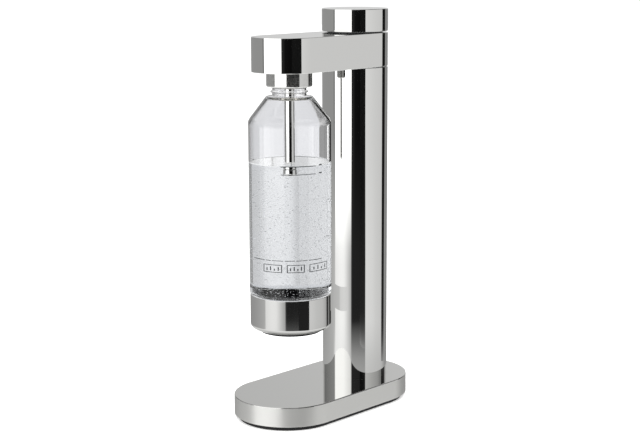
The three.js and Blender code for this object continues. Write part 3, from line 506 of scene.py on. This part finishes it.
def cutHole(piece, place, radius, bottom, top, sides):
    deselectAll()
    bpy.ops.mesh.primitive_cylinder_add(vertices=sides, radius=radius, depth=top - bottom,
                                        location=(place["x"], place["y"], (top + bottom) / 2))
    cutter = bpy.context.object
    pickOnly(piece)
    cut = piece.modifiers.new("hole", "BOOLEAN")
    cut.operation, cut.object, cut.solver = "DIFFERENCE", cutter, "EXACT"
    bpy.ops.object.modifier_apply(modifier=cut.name)
    bpy.data.objects.remove(cutter)


# Column, cap and arm

columnValues = {"wallMm": 1.5, "edgeMm": 0.3, "edgeSteps": 3, "sides": 160}


def makeColumn():
    place, size = placeOf("column_tube"), inMetres(columnValues)
    outer, inner = place["radius"], place["radius"] - size["wall"]
    outline = [(inner, place["bottom"]), (outer, place["bottom"]),
               *topRound(outer, place["top"], size["edge"], columnValues["edgeSteps"]),
               (inner, place["top"]), (inner, place["bottom"])]
    tube = turnPiece("columnTube", outline, place, columnValues["sides"])
    dress(tube, "machine", "polished_steel", "column_tube")


capValues = {"wallMm": 1.5, "edgeMm": 0.7, "edgeSteps": 5, "rimMm": 0.25, "rimSteps": 3, "sides": 160}


def makeCap():
    place, size = placeOf("press_cap"), inMetres(capValues)
    outer, inner, roof = place["radius"], place["radius"] - size["wall"], place["top"] - size["wall"]
    outline = [(0, roof), (inner, roof), (inner, place["bottom"]),
               *lowRound(outer, place["bottom"], size["rim"], capValues["rimSteps"]),
               *topRound(outer, place["top"], size["edge"], capValues["edgeSteps"]), (0, place["top"])]
    cap = turnPiece("pressCap", outline, place, capValues["sides"])
    dress(cap, "cap", "polished_steel", "press_cap")


armValues = {
    "wallMm": 1.5, "edgeMm": 0.5, "topSteps": 4, "lowSteps": 3, "stemHoleMm": 4.6, "holeSides": 48, "sides": 64}


def makeArm():
    place, size = placeOf("arm_shell"), inMetres(armValues)
    wall, edge = size["wall"], size["edge"]
    arm = roundPlate("armShell", place, armValues["sides"])
    hollowPlate(arm, place, wall)
    bevelLevel(arm, place, place["top"], edge, armValues["topSteps"], wall)
    bevelLevel(arm, place, place["bottom"], edge, armValues["lowSteps"], wall)
    holdPlate(arm, place, edge, edge)
    cutHole(arm, placeOf("column_tube"), size["stemHole"], place["top"] - 3 * wall, place["top"] + wall,
            armValues["holeSides"])
    closeAndSmooth(arm)
    dress(arm, "machine", "polished_steel", "arm_shell")


# Base

baseValues = {
    "wallMm": 2.0, "topEdgeMm": 1.0, "topSteps": 5, "lowEdgeMm": 0.4, "lowSteps": 3, "holeGapMm": 0.05,
    "holeSides": 160, "sides": 72, "topNormal": 0.1}


def makeBase():
    place, column, size = placeOf("base_shell"), placeOf("column_tube"), inMetres(baseValues)
    wall, top = size["wall"], place["top"]
    base = roundPlate("baseShell", place, baseValues["sides"])
    hollowPlate(base, place, wall)
    bevelLevel(base, place, top, size["topEdge"], baseValues["topSteps"], wall)
    bevelLevel(base, place, place["bottom"], size["lowEdge"], baseValues["lowSteps"], wall)
    holdPlate(base, place, size["topEdge"], size["lowEdge"])
    cutHole(base, column, column["radius"] + size["holeGap"], top - 2 * wall, top + wall, baseValues["holeSides"])
    closeAndSmooth(base)
    dress(base, "machine", "satin_steel", "base_shell")
    giveSecondLook(base, "baseTop", lambda face: face.normal.z > baseValues["topNormal"]
                   and face.center.z > top - 2 * wall)


footValues = {"edgeMm": 0.8, "edgeSteps": 3, "hatchGapMm": 0.5, "holeSides": 96, "sides": 64}


def makeFoot():
    place, hatch, size = placeOf("base_foot"), placeOf("hatch_cover"), inMetres(footValues)
    foot = roundPlate("baseFoot", place, footValues["sides"])
    bevelLevel(foot, place, place["bottom"], size["edge"], footValues["edgeSteps"], size["edge"])
    cutHole(foot, hatch, hatch["radius"] + size["hatchGap"], place["bottom"] - 1 * mm, place["top"] + 1 * mm,
            footValues["holeSides"])
    closeAndSmooth(foot)
    dress(foot, "machine", "black_rubber", "base_foot")


# Collar, gas tube and tip

collarValues = {"wallMm": 2.0, "discMm": 3.4, "spigotMm": 9.0, "roundMm": 1.5, "roundSteps": 8, "sides": 128}


def makeCollar():
    place, size = placeOf("bottle_collar"), inMetres(collarValues)
    outer, inner, spigot, disc = place["radius"], place["radius"] - size["wall"], size["spigot"], size["disc"]
    outline = [(spigot, place["top"]), (spigot, place["top"] - disc), (inner, place["top"] - disc),
               (inner, place["bottom"]),
               *lowRound(outer, place["bottom"], size["round"], collarValues["roundSteps"]),
               (outer, place["top"]), (spigot, place["top"])]
    collar = turnPiece("bottleCollar", outline, place, collarValues["sides"])
    dress(collar, "machine", "polished_steel", "bottle_collar", look="collar")


tubeValues = {"boreMm": 1.6, "spigotMm": 3.6, "gapMm": 0.3, "sides": 64}


def makeTube():
    place, size = placeOf("gas_tube"), inMetres(tubeValues)
    bore, spigot = size["bore"], size["spigot"]
    outer, step = place["radius"], placeOf("nozzle_tip")["top"] + size["gap"]
    outline = [(bore, place["bottom"]), (spigot, place["bottom"]), (spigot, step), (outer, step),
               (outer, place["top"]), (bore, place["top"]), (bore, place["bottom"])]
    tube = turnPiece("gasTube", outline, place, tubeValues["sides"])
    dress(tube, "machine", "polished_steel", "gas_tube")


tipValues = {
    "holeMm": 1.0, "roundMm": 2.6, "roundSteps": 8, "holdMm": 4.5, "shoulderMm": 0.8, "shoulderDegrees": 70,
    "shoulderSteps": 5, "spigotGapMm": 0.1, "sides": 64}


def makeTip():
    place, size = placeOf("nozzle_tip"), inMetres(tipValues)
    hole, shoulder, bottom, top = size["hole"], size["shoulder"], place["bottom"], place["top"]
    outer, inner = place["radius"], tubeValues["spigotMm"] * mm + size["spigotGap"]
    step = top - size["hold"] - size["spigotGap"]
    outline = [(hole, bottom), *lowRound(outer, bottom, size["round"], tipValues["roundSteps"]),
               *arcPoints(outer - shoulder, top - shoulder, shoulder, 0, tipValues["shoulderDegrees"],
                          tipValues["shoulderSteps"]),
               (inner, top), (inner, step), (hole, step), (hole, bottom)]
    tip = turnPiece("nozzleTip", outline, place, tipValues["sides"])
    dress(tip, "machine", "polished_steel", "nozzle_tip")


# Bottle, what it holds, and its cup

bottleValues = {
    "wallMm": 1.6, "neckWallMm": 2.3, "waistRadiusMm": 39.8, "cornerMm": 8.0, "cornerSteps": 10, "stepMm": 1.4,
    "stepTurnMm": 1.5, "neckRadiusMm": 17.3, "neckTurnMm": 0.5, "mouthTurnMm": 0.8, "shoulderRadiusMm": 23.6,
    "shoulderTurnMm": 1.0, "shoulderBelowMouthMm": 18.6, "coneMm": 24.2, "coneTurnMm": 3.0,
    "threadMm": 1.8, "threadHeightMm": 2.6, "threadPitchMm": 4.8, "threadFootMm": 0.3, "threadTurnMm": 0.5,
    "threadCount": 2, "sides": 144}
waterValues = {
    "levelMm": 266.7, "overlapMm": 0.05,     # it dips into the wall, so that no film of air shows between them
    # the wall's wet faces lie under this height above the level, and look at the axis or up
    "wettedMm": 1.0, "wettedInward": 0.2, "wettedUpward": 0.4,
    # how it creeps up the wall: (from the wall, above its level) in mm
    "creep": [(0, 1.1), (0.25, 0.7), (0.8, 0.2), (2, 0)]}


def bottleLevels():
    place, size = placeOf("bottle_body"), {**inMetres(bottleValues), **inMetres(waterValues)}
    rim = placeOf("bottle_cup")["top"]
    size["lowStep"], size["highStep"] = rim - size["step"] / 2, rim + size["step"]
    size["shoulder"] = place["top"] - size["shoulderBelowMouth"]
    size["coneFoot"] = size["shoulder"] - size["cone"]
    size["wet"] = size["level"] + waterValues["creep"][0][1] * mm
    return place, size


def makeBottle():
    place, size = bottleLevels()
    wall, corner, steps = size["wall"], size["corner"], bottleValues["cornerSteps"]
    bottom, mouth, shoulder, cone = place["bottom"], place["top"], size["shoulder"], size["coneFoot"]
    outer, inner = place["radius"], place["radius"] - wall
    waist, waistInner = size["waistRadius"], size["waistRadius"] - wall
    edge, edgeTurn, coneTurn = size["shoulderRadius"], size["shoulderTurn"], size["coneTurn"]
    neck, neckInner, mouthTurn = size["neckRadius"], size["neckRadius"] - size["neckWall"], size["mouthTurn"]
    ridge, half, ridgeTurn = neck + size["thread"], size["threadHeight"] / 2, size["threadTurn"]
    threads = []
    for i in range(bottleValues["threadCount"]):
        z = shoulder + size["threadPitch"] * (i + 1)
        threads += [(neck, z - half, size["threadFoot"]), (ridge, z - half / 2, ridgeTurn),
                    (ridge, z + half / 2, ridgeTurn), (neck, z + half, size["threadFoot"])]
    corners = [
        (waist, size["lowStep"]), (outer, size["highStep"], size["stepTurn"]), (outer, cone, coneTurn),
        (edge, shoulder, edgeTurn), (neck, shoulder + wall / 2, size["neckTurn"]), *threads,
        (neck, mouth, mouthTurn), (neckInner, mouth, mouthTurn), (neckInner, shoulder - wall, edgeTurn),
        (edge - wall, shoulder - 2 * wall, edgeTurn), (inner, cone - wall, coneTurn), (inner, size["wet"]),
        (inner, size["highStep"] + wall, size["stepTurn"]), (waistInner, size["lowStep"] + wall)]
    outline = [(0, bottom), *lowRound(waist, bottom, corner, steps), *softOutline(corners),
               *arcPoints(waist - corner, bottom + corner, corner - wall, 0, -90, steps), (0, bottom + wall)]
    bottle = turnPiece("bottleBody", outline, place, bottleValues["sides"])
    # the column mirrors the steel parts and hardly the clear bottle, so nothing in it shows in mirrors
    dress(bottle, "bottle", "clear_plastic", "bottle_body", mirrored=False)

    def wetted(face):
        centre, normal = face.center, face.normal
        inward = (place["x"] - centre.x) * normal.x + (place["y"] - centre.y) * normal.y
        looksIn = inward > waterValues["wettedInward"] * inner or normal.z > waterValues["wettedUpward"]
        return looksIn and centre.z < size["level"] + size["wetted"]
    giveSecondLook(bottle, "wetted", wetted)


def makeWater():
    place, size = bottleLevels()
    wall, corner, bottom = size["wall"] - size["overlap"], size["corner"], place["bottom"]
    inner, waistInner = place["radius"] - wall, size["waistRadius"] - wall
    outline = [(0, bottom + wall),
               *arcPoints(size["waistRadius"] - corner, bottom + corner, corner - wall, -90, 0,
                          bottleValues["cornerSteps"]),
               (waistInner, size["lowStep"] + wall), (inner, size["highStep"] + wall),
               *((inner - off * mm, size["level"] + up * mm) for off, up in waterValues["creep"]),
               (0, size["level"])]
    water = turnPiece("bottleWater", outline, place, bottleValues["sides"])
    dress(water, "bottle", "clear_plastic", look="water", mirrored=False)


bubbleValues = {
    "seed": 11, "count": 4200, "smallMm": 0.2, "largeMm": 0.48, "wallShare": 0.9, "nearWall": 0.93,
    "wallGapMm": 1.2, "floorGapMm": 2, "heightLessMm": 6, "segments": 6, "rings": 4}


def makeBubbles():
    place, bottleSize = bottleLevels()
    size = inMetres(bubbleValues)
    draw = random.Random(bubbleValues["seed"])
    nearWall = bubbleValues["nearWall"]
    low, corner = place["bottom"], bottleSize["corner"]
    room = bottleSize["waistRadius"] - bottleSize["wall"] - size["wallGap"]
    deselectAll()
    bpy.ops.mesh.primitive_uv_sphere_add(
        segments=bubbleValues["segments"], ring_count=bubbleValues["rings"], radius=1, location=(0, 0, 0))
    pattern = bpy.context.object
    copies = []
    for _ in range(bubbleValues["count"]):
        radius = size["small"] + (size["large"] - size["small"]) * draw.random() ** 2
        angle = draw.uniform(0, 2 * math.pi)
        atWall = draw.random() < bubbleValues["wallShare"]
        share = draw.uniform(nearWall, 1) if atWall else math.sqrt(draw.random()) * nearWall
        height = draw.random() * (bottleSize["level"] - low - size["heightLess"])
        z = low + bottleSize["wall"] + size["floorGap"] + height
        drop = max(low + corner - z, 0)
        reach = room - (corner - math.sqrt(max(corner ** 2 - drop ** 2, 0)))     # less in the rounded corner
        bubble = pattern.copy()
        bubble.data = pattern.data.copy()
        spot = (place["x"] + share * reach * math.cos(angle), place["y"] + share * reach * math.sin(angle), z)
        bubble.data.transform(Matrix.Translation(spot) @ Matrix.Scale(radius, 4))
        bpy.context.scene.collection.objects.link(bubble)
        copies.append(bubble)
    bpy.data.objects.remove(pattern)
    bubbles = joinAll(copies, "waterBubbles")
    bpy.ops.object.shade_smooth()
    dress(bubbles, "bottle", "clear_plastic", look="bubbles", mirrored=False)


# Marks printed on the bottle: angles in degrees from the side that faces the camera, heights in millimetres

markValues = {
    "facingDegrees": -46.75, "inkMm": 0.06, "lineMm": 0.65, "stepDegrees": 2,
    "fillLines": [(267.0, -12.5, 37.7), (259.1, -12.5, 37.7)], "fillTicks": [(267.6, 43.5, 49), (259.7, 43.5, 49)],
    "lowerLine": (172.2, [(-60, -38), (-36, -28), (-26, -10), (-8, 6), (8, 24), (26, 49)]),
    "boxes": [(-40, -11.5), (-5.1, 19.9), (26.9, 61.9)], "boxHeights": (160.1, 168.2),
    # widths over the line's, and the plain strokes that stand for the icons, by their share of the box's height
    "sideShare": 1.5, "strokeShare": 1.3, "strokes": [(0.25, 0.6), (0.25, 0.75), (0.25, 0.5), (0.25, 0.75)]}


def printedBar(fromAngle, toAngle, bottom, top):     # a thin strip of ink that follows the bottle's wall
    place, ink = placeOf("bottle_body"), markValues["inkMm"] * mm
    start = math.radians(markValues["facingDegrees"] + fromAngle)
    turn = math.radians(toAngle - fromAngle)
    radius = place["radius"] + ink / 2
    middle = (place["x"] + radius * math.cos(start), place["y"] + radius * math.sin(start), (bottom + top) / 2 * mm)
    bar = addPanel(middle, (math.pi / 2, 0, start), ink, (top - bottom) * mm)
    editAll()
    bpy.ops.mesh.spin(steps=max(2, round(math.degrees(turn) / markValues["stepDegrees"])), angle=-turn,
                      center=(place["x"], place["y"], 0), axis=(0, 0, 1))
    weldAndTurnOut(general["weld"])
    return bar


def makeMarks():
    line = markValues["lineMm"]
    height, dashes = markValues["lowerLine"]
    rows = [(*row, line / 2) for row in markValues["fillLines"]]
    rows += [(*row, line) for row in markValues["fillTicks"]]
    rows += [(height, low, high, line / 2) for low, high in dashes]
    bars = [printedBar(low, high, z - half, z + half) for z, low, high, half in rows]
    bottom, top = markValues["boxHeights"]
    side = math.degrees(line * mm / placeOf("bottle_body")["radius"]) * markValues["sideShare"]
    for low, high in markValues["boxes"]:
        sides = [(low, high, bottom, bottom + line), (low, high, top - line, top),
                 (low, low + side, bottom, top), (high - side, high, bottom, top)]
        step = (high - low) / (len(markValues["strokes"]) + 1)
        for i, (under, over) in enumerate(markValues["strokes"]):
            start = low + step * (i + 1) - side / 2
            sides.append((start, start + side * markValues["strokeShare"], bottom + (top - bottom) * under,
                          bottom + (top - bottom) * over))
        bars += [printedBar(*edges) for edges in sides]
    dress(joinAll(bars, "bottleMarks"), "bottle", "grey_plastic", look="ink", mirrored=False)


cupValues = {"wallMm": 0.8, "roundMm": 5.2, "roundSteps": 12, "rimMm": 0.35, "rimSteps": 4, "sides": 144}


def makeCup():     # makePaintedCupReflection's glowing card stands for it where the column mirrors it: a painted reflection
    place, size = placeOf("bottle_cup"), inMetres(cupValues)
    wall, rounding, bottom, steps = size["wall"], size["round"], place["bottom"], cupValues["roundSteps"]
    outer, inner = place["radius"], place["radius"] - wall
    outline = [(0, bottom), *lowRound(outer, bottom, rounding, steps),
               *topRound(outer, place["top"], size["rim"], cupValues["rimSteps"]), (inner, place["top"]),
               *arcPoints(outer - rounding, bottom + rounding, rounding - wall, 0, -90, steps), (0, bottom + wall)]
    cup = turnPiece("bottleCup", outline, place, cupValues["sides"])
    dress(cup, "bottle", "polished_steel", "bottle_cup", look="cup", mirrored=False)


linerValues = {"wallMm": 0.8, "floorMm": 1.2, "roundMm": 4.4, "roundSteps": 10, "sides": 128}


def makeLiner():
    place, size = placeOf("cup_liner"), inMetres(linerValues)
    wall, steps, bottom = size["wall"], linerValues["roundSteps"], place["bottom"]
    floor = bottom + size["floor"]
    outer, inner = place["radius"], place["radius"] - wall
    innerRound = size["round"] - wall / 2
    outline = [(0, bottom), *lowRound(outer, bottom, size["round"], steps),
               (outer, place["top"]), (inner, place["top"]),
               *arcPoints(inner - innerRound, floor + innerRound, innerRound, 0, -90, steps), (0, floor)]
    liner = turnPiece("cupLiner", outline, place, linerValues["sides"])
    dress(liner, "bottle", "black_plastic", "cup_liner", look="liner", mirrored=False)


padValues = {"edgeMm": 0.3, "edgeSteps": 3, "sides": 128}


def makeBottleFoot():
    place = placeOf("bottle_foot")
    outline = [(0, place["bottom"]),
               *lowRound(place["radius"], place["bottom"], padValues["edgeMm"] * mm, padValues["edgeSteps"]),
               (place["radius"], place["top"]), (0, place["top"])]
    pad = turnPiece("bottleFoot", outline, place, padValues["sides"])
    dress(pad, "bottle", "black_rubber", "bottle_foot", mirrored=False)


makeColumn()
makeCap()
makeArm()
print("stage: column, cap and arm")
makeBase()
makeFoot()
print("stage: base and foot")
makeCollar()
makeTube()
makeTip()
print("stage: collar, gas tube and tip")
makeBottle()
makeWater()
makeBubbles()
makeMarks()
makeCup()
makeLiner()
makeBottleFoot()
print("stage: bottle, water, marks and cup")


# Floor, light and camera

stageValues = {
    "floor": {"size": 12, "underMm": 0.2, "dark": "#F4F4F3", "light": "#FAFAF9", "glow": 0.35},
    # how bright the studio is that the steel mirrors, by direction from the camera's own in degrees: at the
    # machine's height, above it, higher up, near the table and on the table
    "level": [(-180, 0.33), (-80.5, 0.33), (-79.5, 0.12), (-75.5, 0.12), (-74, 2.4), (-16, 2.3), (-13.8, 2.0),
              (-12.8, 0.03), (0, 0.006), (20, 0.004), (34.6, 0.02), (36.2, 0.8), (75, 0.72), (96, 0.69),
              (108, 0.66), (110, 0.62), (112, 0.05), (130, 0.05), (132, 0.36), (137, 0.27), (180, 0.27)],
    "above": [(-180, 0.66), (-175, 0.61), (-150, 0.6), (-140, 0.22), (-79, 0.22), (-75, 1.3), (-16, 1.3),
              (-12, 0.05), (36, 0.04), (39, 0.6), (75, 0.6), (111, 0.55), (113, 0.04), (133, 0.04), (145, 0.66),
              (175, 0.71), (180, 0.66)],
    "upper": [(-180, 0.66), (-175, 0.61), (-150, 0.6), (-140, 0.22), (-84, 0.36), (-79, 0.36), (-75, 1.1),
              (-42, 1.1), (-25, 0.95), (-18, 0.85), (-12, 0.5), (36, 0.47), (39, 0.6), (75, 0.6),
              (111, 0.55), (113, 0.04), (133, 0.04), (145, 0.66), (175, 0.71), (180, 0.66)],
    "high": [(-180, 0.66), (-84, 0.6), (-75, 1.1), (-16, 1.1), (-12, 0.05), (134, 0.05), (145, 0.66), (180, 0.66)],
    "low": [(-180, 0.3), (-135, 0.38), (-110, 0.44), (-91, 0.5), (-77, 0.56), (-74.5, 0.98), (-64, 1.05),
            (-56, 1.09), (-48, 1.1), (-40, 1.07), (-33, 0.92), (-25.4, 0.72), (-18.2, 0.55), (-14.8, 0.5),
            (-13, 0.05), (-9, 0.018), (36.4, 0.016), (38, 0.84), (65, 0.8), (80, 0.73), (104, 0.68), (113, 0.6),
            (124, 0.44), (137, 0.28), (180, 0.27)],
    "table": [(-180, 0.36), (-84, 0.5), (-77, 1.0), (-50, 1.0), (-25, 0.8), (-16, 0.66), (-10, 0.44),
              (36.4, 0.42), (38, 0.64), (111, 0.55), (137, 0.33), (180, 0.36)],
    # and for what is mirrored twice: the column again in the base's top, and from one part on to the next
    "upperAgain": [(-180, 0.66), (-175, 0.61), (-150, 0.6), (-140, 0.22), (-84, 0.36), (-79, 0.36), (-75, 1.62),
                   (-42, 1.6), (-18, 1.2), (-14, 1.0), (-12.5, 0.03), (36.6, 0.02), (38.2, 0.74), (63, 0.61),
                   (91, 0.47), (101, 0.34), (111, 0.3), (113, 0.04), (133, 0.04), (145, 0.66), (175, 0.71),
                   (180, 0.66)],
    "levelAgain": [(-180, 0.3), (-72, 0.3), (-60, 0.05), (58, 0.04), (72, 0.3), (180, 0.3)],
    # how bright the sweep is that shows through the water, which turns the view round
    "throughWater": [(-180, 1.06), (-177.5, 1.0), (-174, 0.8), (-168, 0.79), (-140, 0.77), (-110, 0.8),
                     (110, 0.8), (140, 0.74), (154, 0.76), (159, 0.93), (166, 1.0), (180, 1.06)],
    # and what the bottle's floor mirrors from inside
    "bottleFloor": [(-180, 0.02), (-172, 0.03), (-165, 0.1), (-140, 0.16), (-100, 0.06), (100, 0.02), (180, 0.02)],
    # one brightness all round: overhead, below the table, where the bottle's edges bend the view steeply down,
    # what the water's top mirrors, and what the camera sees
    "flat": {"ceiling": 0.9, "floorLight": 1.1, "steepDown": 0.06, "waterTop": 0.8, "seen": 1.05},
    "background": "#E9EAEC",
    # the share that each of these has by the direction's height in degrees
    "bands": {
        "above": [(0, 0), (1.5, 1)], "upper": [(7, 0), (11, 1)], "high": [(22, 0), (26, 1)],
        "ceiling": [(60, 0), (70, 1)], "low": [(-11.5, 1), (-7, 0)], "table": [(-15.8, 1), (-14.2, 0)],
        "floorLight": [(-26, 1), (-17, 0)], "levelAgain": [(-17, 0), (-16.5, 1), (-4, 1), (-2.5, 0)],
        "throughWater": [(-8.2, 1), (-7.8, 0)], "steepDown": [(-62, 0), (-56, 1), (-42, 1), (-34, 0)],
        "waterTop": [(4, 0), (6, 1)], "bottleFloor": [(9.5, 0), (11, 1)]},
    # dark cards, as their two ends and their height: one beside the machine for the parts in front of the column, and
    # a narrow one close behind the column; then their painted glow, which stands in for how they are lit, by the
    # height over their edge
    "flags": {"sideFlag": ((0.319, -0.027, -0.02), (0.706, -0.375, -0.144), 0.9),
              "rearFlag": ((0.082, 0.147, 0.014), (0.05, 0.158, 0.014), 0.45)},
    "flagGlow": [(0, 0.3), (0.012, 0.16), (0.024, 0.08), (0.036, 0.035), (0.05, 0.019), (0.08, 0.017),
                 (0.12, 0.014), (0.22, 0.006)],
    # a glowing card inside the cup, a painted reflection of it for the column: its place by the cup in mm and its
    # glow across
    "cupCard": {"lowMm": -11.3, "highMm": 16.1, "leftMm": -44, "rightMm": 36,
                "glow": [(0, 0.55), (0.38, 0.6), (0.5, 0.76), (0.75, 0.8), (1, 0.74)]},
    # softboxes: place, turn, size and watts
    "lights": {"keySoftbox": ((0.9, -0.9, 1.5), (0.7, 0, 0.78), 1.6, 26),
               "fillSoftbox": ((-1.2, -0.3, 1.2), (0.75, 0, -1.4), 1.8, 12)}}


def makeFloor():     # the steel mirrors the studio's cards, and not the sweep under it
    size = stageValues["floor"]
    deselectAll()
    bpy.ops.mesh.primitive_plane_add(size=size["size"], location=(0, 0, -size["underMm"] * mm))
    floor = bpy.context.object
    floor.name = "paleFloor"
    material = addMaterial("matt_white_paper_floor", {
        "Specular IOR Level": 0.0, "Emission Color": "#FFFFFF", "Emission Strength": size["glow"]},
        (3, 3.0), (0.85, 0.95), (size["dark"], size["light"], (0.2, 0.8)))
    floor.data.materials.append(material)
    floor.visible_glossy = floor.visible_transmission = False


cameraValues = {
    "azimuthDegrees": 42.04, "distance": 1.5541, "height": 0.48025, "pitchDegrees": 10.203, "rollDegrees": -0.181,
    "turnDegrees": 0.063, "lensMm": 84.96, "nearestMm": 50}


def makeCamera():
    azimuth, pitch, roll, turn = (
        math.radians(cameraValues[key + "Degrees"]) for key in ("azimuth", "pitch", "roll", "turn"))
    distance = cameraValues["distance"]
    camera = bpy.data.objects.new("photoCamera", bpy.data.cameras.new("photoCamera"))
    bpy.context.scene.collection.objects.link(camera)
    camera.data.lens, camera.data.clip_start = cameraValues["lensMm"], cameraValues["nearestMm"] * mm
    place = Matrix.Translation((math.sin(azimuth) * distance, -math.cos(azimuth) * distance, cameraValues["height"]))
    camera.matrix_world = (place @ Matrix.Rotation(azimuth + turn, 4, "Z")
                           @ Matrix.Rotation(math.pi / 2 - pitch, 4, "X") @ Matrix.Rotation(roll, 4, "Z"))
    bpy.context.scene.camera = camera


def makeWorld():
    world = bpy.data.worlds.new("studioCards")
    bpy.context.scene.world = world
    world.use_nodes = True
    tree = world.node_tree
    tree.nodes.clear()

    def blend(share, first, second):
        settings = {"data_type": "RGBA", 0: share, 6: first, 7: second}     # 6 and 7 are the mixed colours
        return addNode(tree, "ShaderNodeMix", settings).outputs[2]

    def once(depth):
        return compute(tree, "MINIMUM", path[depth], 1.0)

    path = addNode(tree, "ShaderNodeLightPath").outputs
    directions = addNode(tree, "ShaderNodeTexCoord").outputs["Generated"]
    axes = addNode(tree, "ShaderNodeSeparateXYZ", {"Vector": directions}).outputs
    around = compute(tree, "ARCTAN2", axes["Y"], axes["X"])
    fromCamera = compute(tree, "ADD", around, math.radians(90 - cameraValues["azimuthDegrees"]))
    wrapped = compute(tree, "WRAP", fromCamera, math.pi, -math.pi)
    turn = compute(tree, "MULTIPLY_ADD", wrapped, 0.5 / math.pi, 0.5)
    rise = compute(tree, "MULTIPLY_ADD", compute(tree, "ARCSINE", axes["Z"]), 1 / math.pi, 0.5)

    def brightness(name):
        if name in stageValues["flat"]:
            return grey(stageValues["flat"][name])
        return addRamp(tree, turn, [((degrees + 180) / 360, grey(level)) for degrees, level in stageValues[name]])

    def layer(under, name, over=None, share=None):
        stops = [((degrees + 90) / 180, grey(level)) for degrees, level in stageValues["bands"][name]]
        band = addRamp(tree, rise, stops)
        if share is not None:
            band = compute(tree, "MULTIPLY", share, band)
        return blend(band, under, brightness(name) if over is None else over)

    again = compute(tree, "SUBTRACT", path["Glossy Depth"], 1.0, use_clamp=True)     # 1 from the second mirror on
    throughBottle = once("Transmission Depth")
    studio = layer(brightness("level"), "above")
    studio = layer(studio, "upper", blend(again, brightness("upper"), brightness("upperAgain")))
    for name in ("high", "ceiling", "low", "table", "floorLight"):
        studio = layer(studio, name)
    studio = layer(studio, "levelAgain", share=again)
    studio = layer(studio, "waterTop", share=throughBottle)
    studio = layer(studio, "bottleFloor", share=throughBottle)
    sweep = toLinear(stageValues["background"])
    behind = layer(layer(sweep, "throughWater"), "steepDown")
    behind = blend(once("Diffuse Depth"), behind, sweep)
    shown = blend(throughBottle, brightness("seen"), behind)
    shown = blend(once("Glossy Depth"), shown, studio)
    light = addNode(tree, "ShaderNodeBackground", {"Color": shown})
    addNode(tree, "ShaderNodeOutputWorld", {"Surface": light.outputs["Background"]})


def dressCard(card, name, glow, grain, shades, measure):     # a card seen in mirrors only, with a painted glow that runs along one way in place of its lighting
    material, tree, surface, place = startMaterial(name, {"Specular IOR Level": 0.0, "Emission Strength": 1.0})
    # painted light: the card glows by its emission, brighter along one way, though it is no lamp
    ramp = addRamp(tree, measure(tree, place), [(at, grey(level)) for at, level in glow])
    tree.links.new(ramp, surface.inputs["Emission Color"])
    tint(tree, surface, addNoise(tree, place, *grain), *shades)
    card.data.materials.append(material)
    card.visible_camera = card.visible_diffuse = card.visible_transmission = card.visible_shadow = False


def makeFlag(name, nearEnd, farEnd, high):     # its lower edge runs from the near end's height to the far end's
    (x, y, low), (farX, farY, farLow) = nearEnd, farEnd
    bottom, length = min(low, farLow), math.hypot(farX - x, farY - y)
    flag = addPanel(((x + farX) / 2, (y + farY) / 2, (bottom + high) / 2),
                    (math.pi / 2, 0, math.atan2(farY - y, farX - x)), length, high - bottom)
    flag.name = name
    slope = (farLow - low) / length ** 2
    tilt = (slope * (x - farX), slope * (y - farY), 1)
    editAll()
    bpy.ops.mesh.bisect(plane_co=(x, y, low), plane_no=tilt, clear_inner=True)
    bpy.ops.object.mode_set(mode="OBJECT")

    def overEdge(tree, place):
        along = addNode(tree, "ShaderNodeVectorMath", {"operation": "DOT_PRODUCT", 0: place, 1: tilt})
        return compute(tree, "SUBTRACT", along.outputs["Value"], x * tilt[0] + y * tilt[1] + low)
    dressCard(flag, "black_flag_card_painted_glow", stageValues["flagGlow"], (2, 3.0), ("#040404", "#090909"), overEdge)


def makePaintedCupReflection():     # a pale glowing card inside the cup, seen only in mirrors: the soft grey patch that the column shows of it, a painted reflection of the cup
    cup, size = placeOf("bottle_cup"), inMetres(stageValues["cupCard"])
    low, high = cup["bottom"] + size["low"], cup["bottom"] + size["high"]
    left, right = cup["x"] + size["left"], cup["x"] + size["right"]
    card = addPanel(((left + right) / 2, cup["y"], (low + high) / 2), (math.pi / 2, 0, 0), right - left, high - low)
    card.name = "cupCard"

    def across(tree, place):
        side = addNode(tree, "ShaderNodeSeparateXYZ", {"Vector": place}).outputs["X"]
        settings = {"From Min": left, "From Max": right, "Value": side}
        return addNode(tree, "ShaderNodeMapRange", settings).outputs["Result"]
    dressCard(card, "painted_cup_reflection_card", stageValues["cupCard"]["glow"], (20, 2.0), ("#0C0C0C", "#141414"), across)


def makeLights():
    for name, (place, turn, size, watts) in stageValues["lights"].items():
        data = bpy.data.lights.new(name, "AREA")
        data.size, data.energy = size, watts
        light = bpy.data.objects.new(name, data)
        light.location, light.rotation_euler = place, turn
        light.visible_glossy = False
        bpy.context.scene.collection.objects.link(light)


makeFloor()
makeCamera()
makeWorld()
for name, (nearEnd, farEnd, high) in stageValues["flags"].items():
    makeFlag(name, nearEnd, farEnd, high)
makePaintedCupReflection()
makeLights()
bpy.context.scene.view_settings.view_transform = "Standard"
print("stage: floor, light and camera")
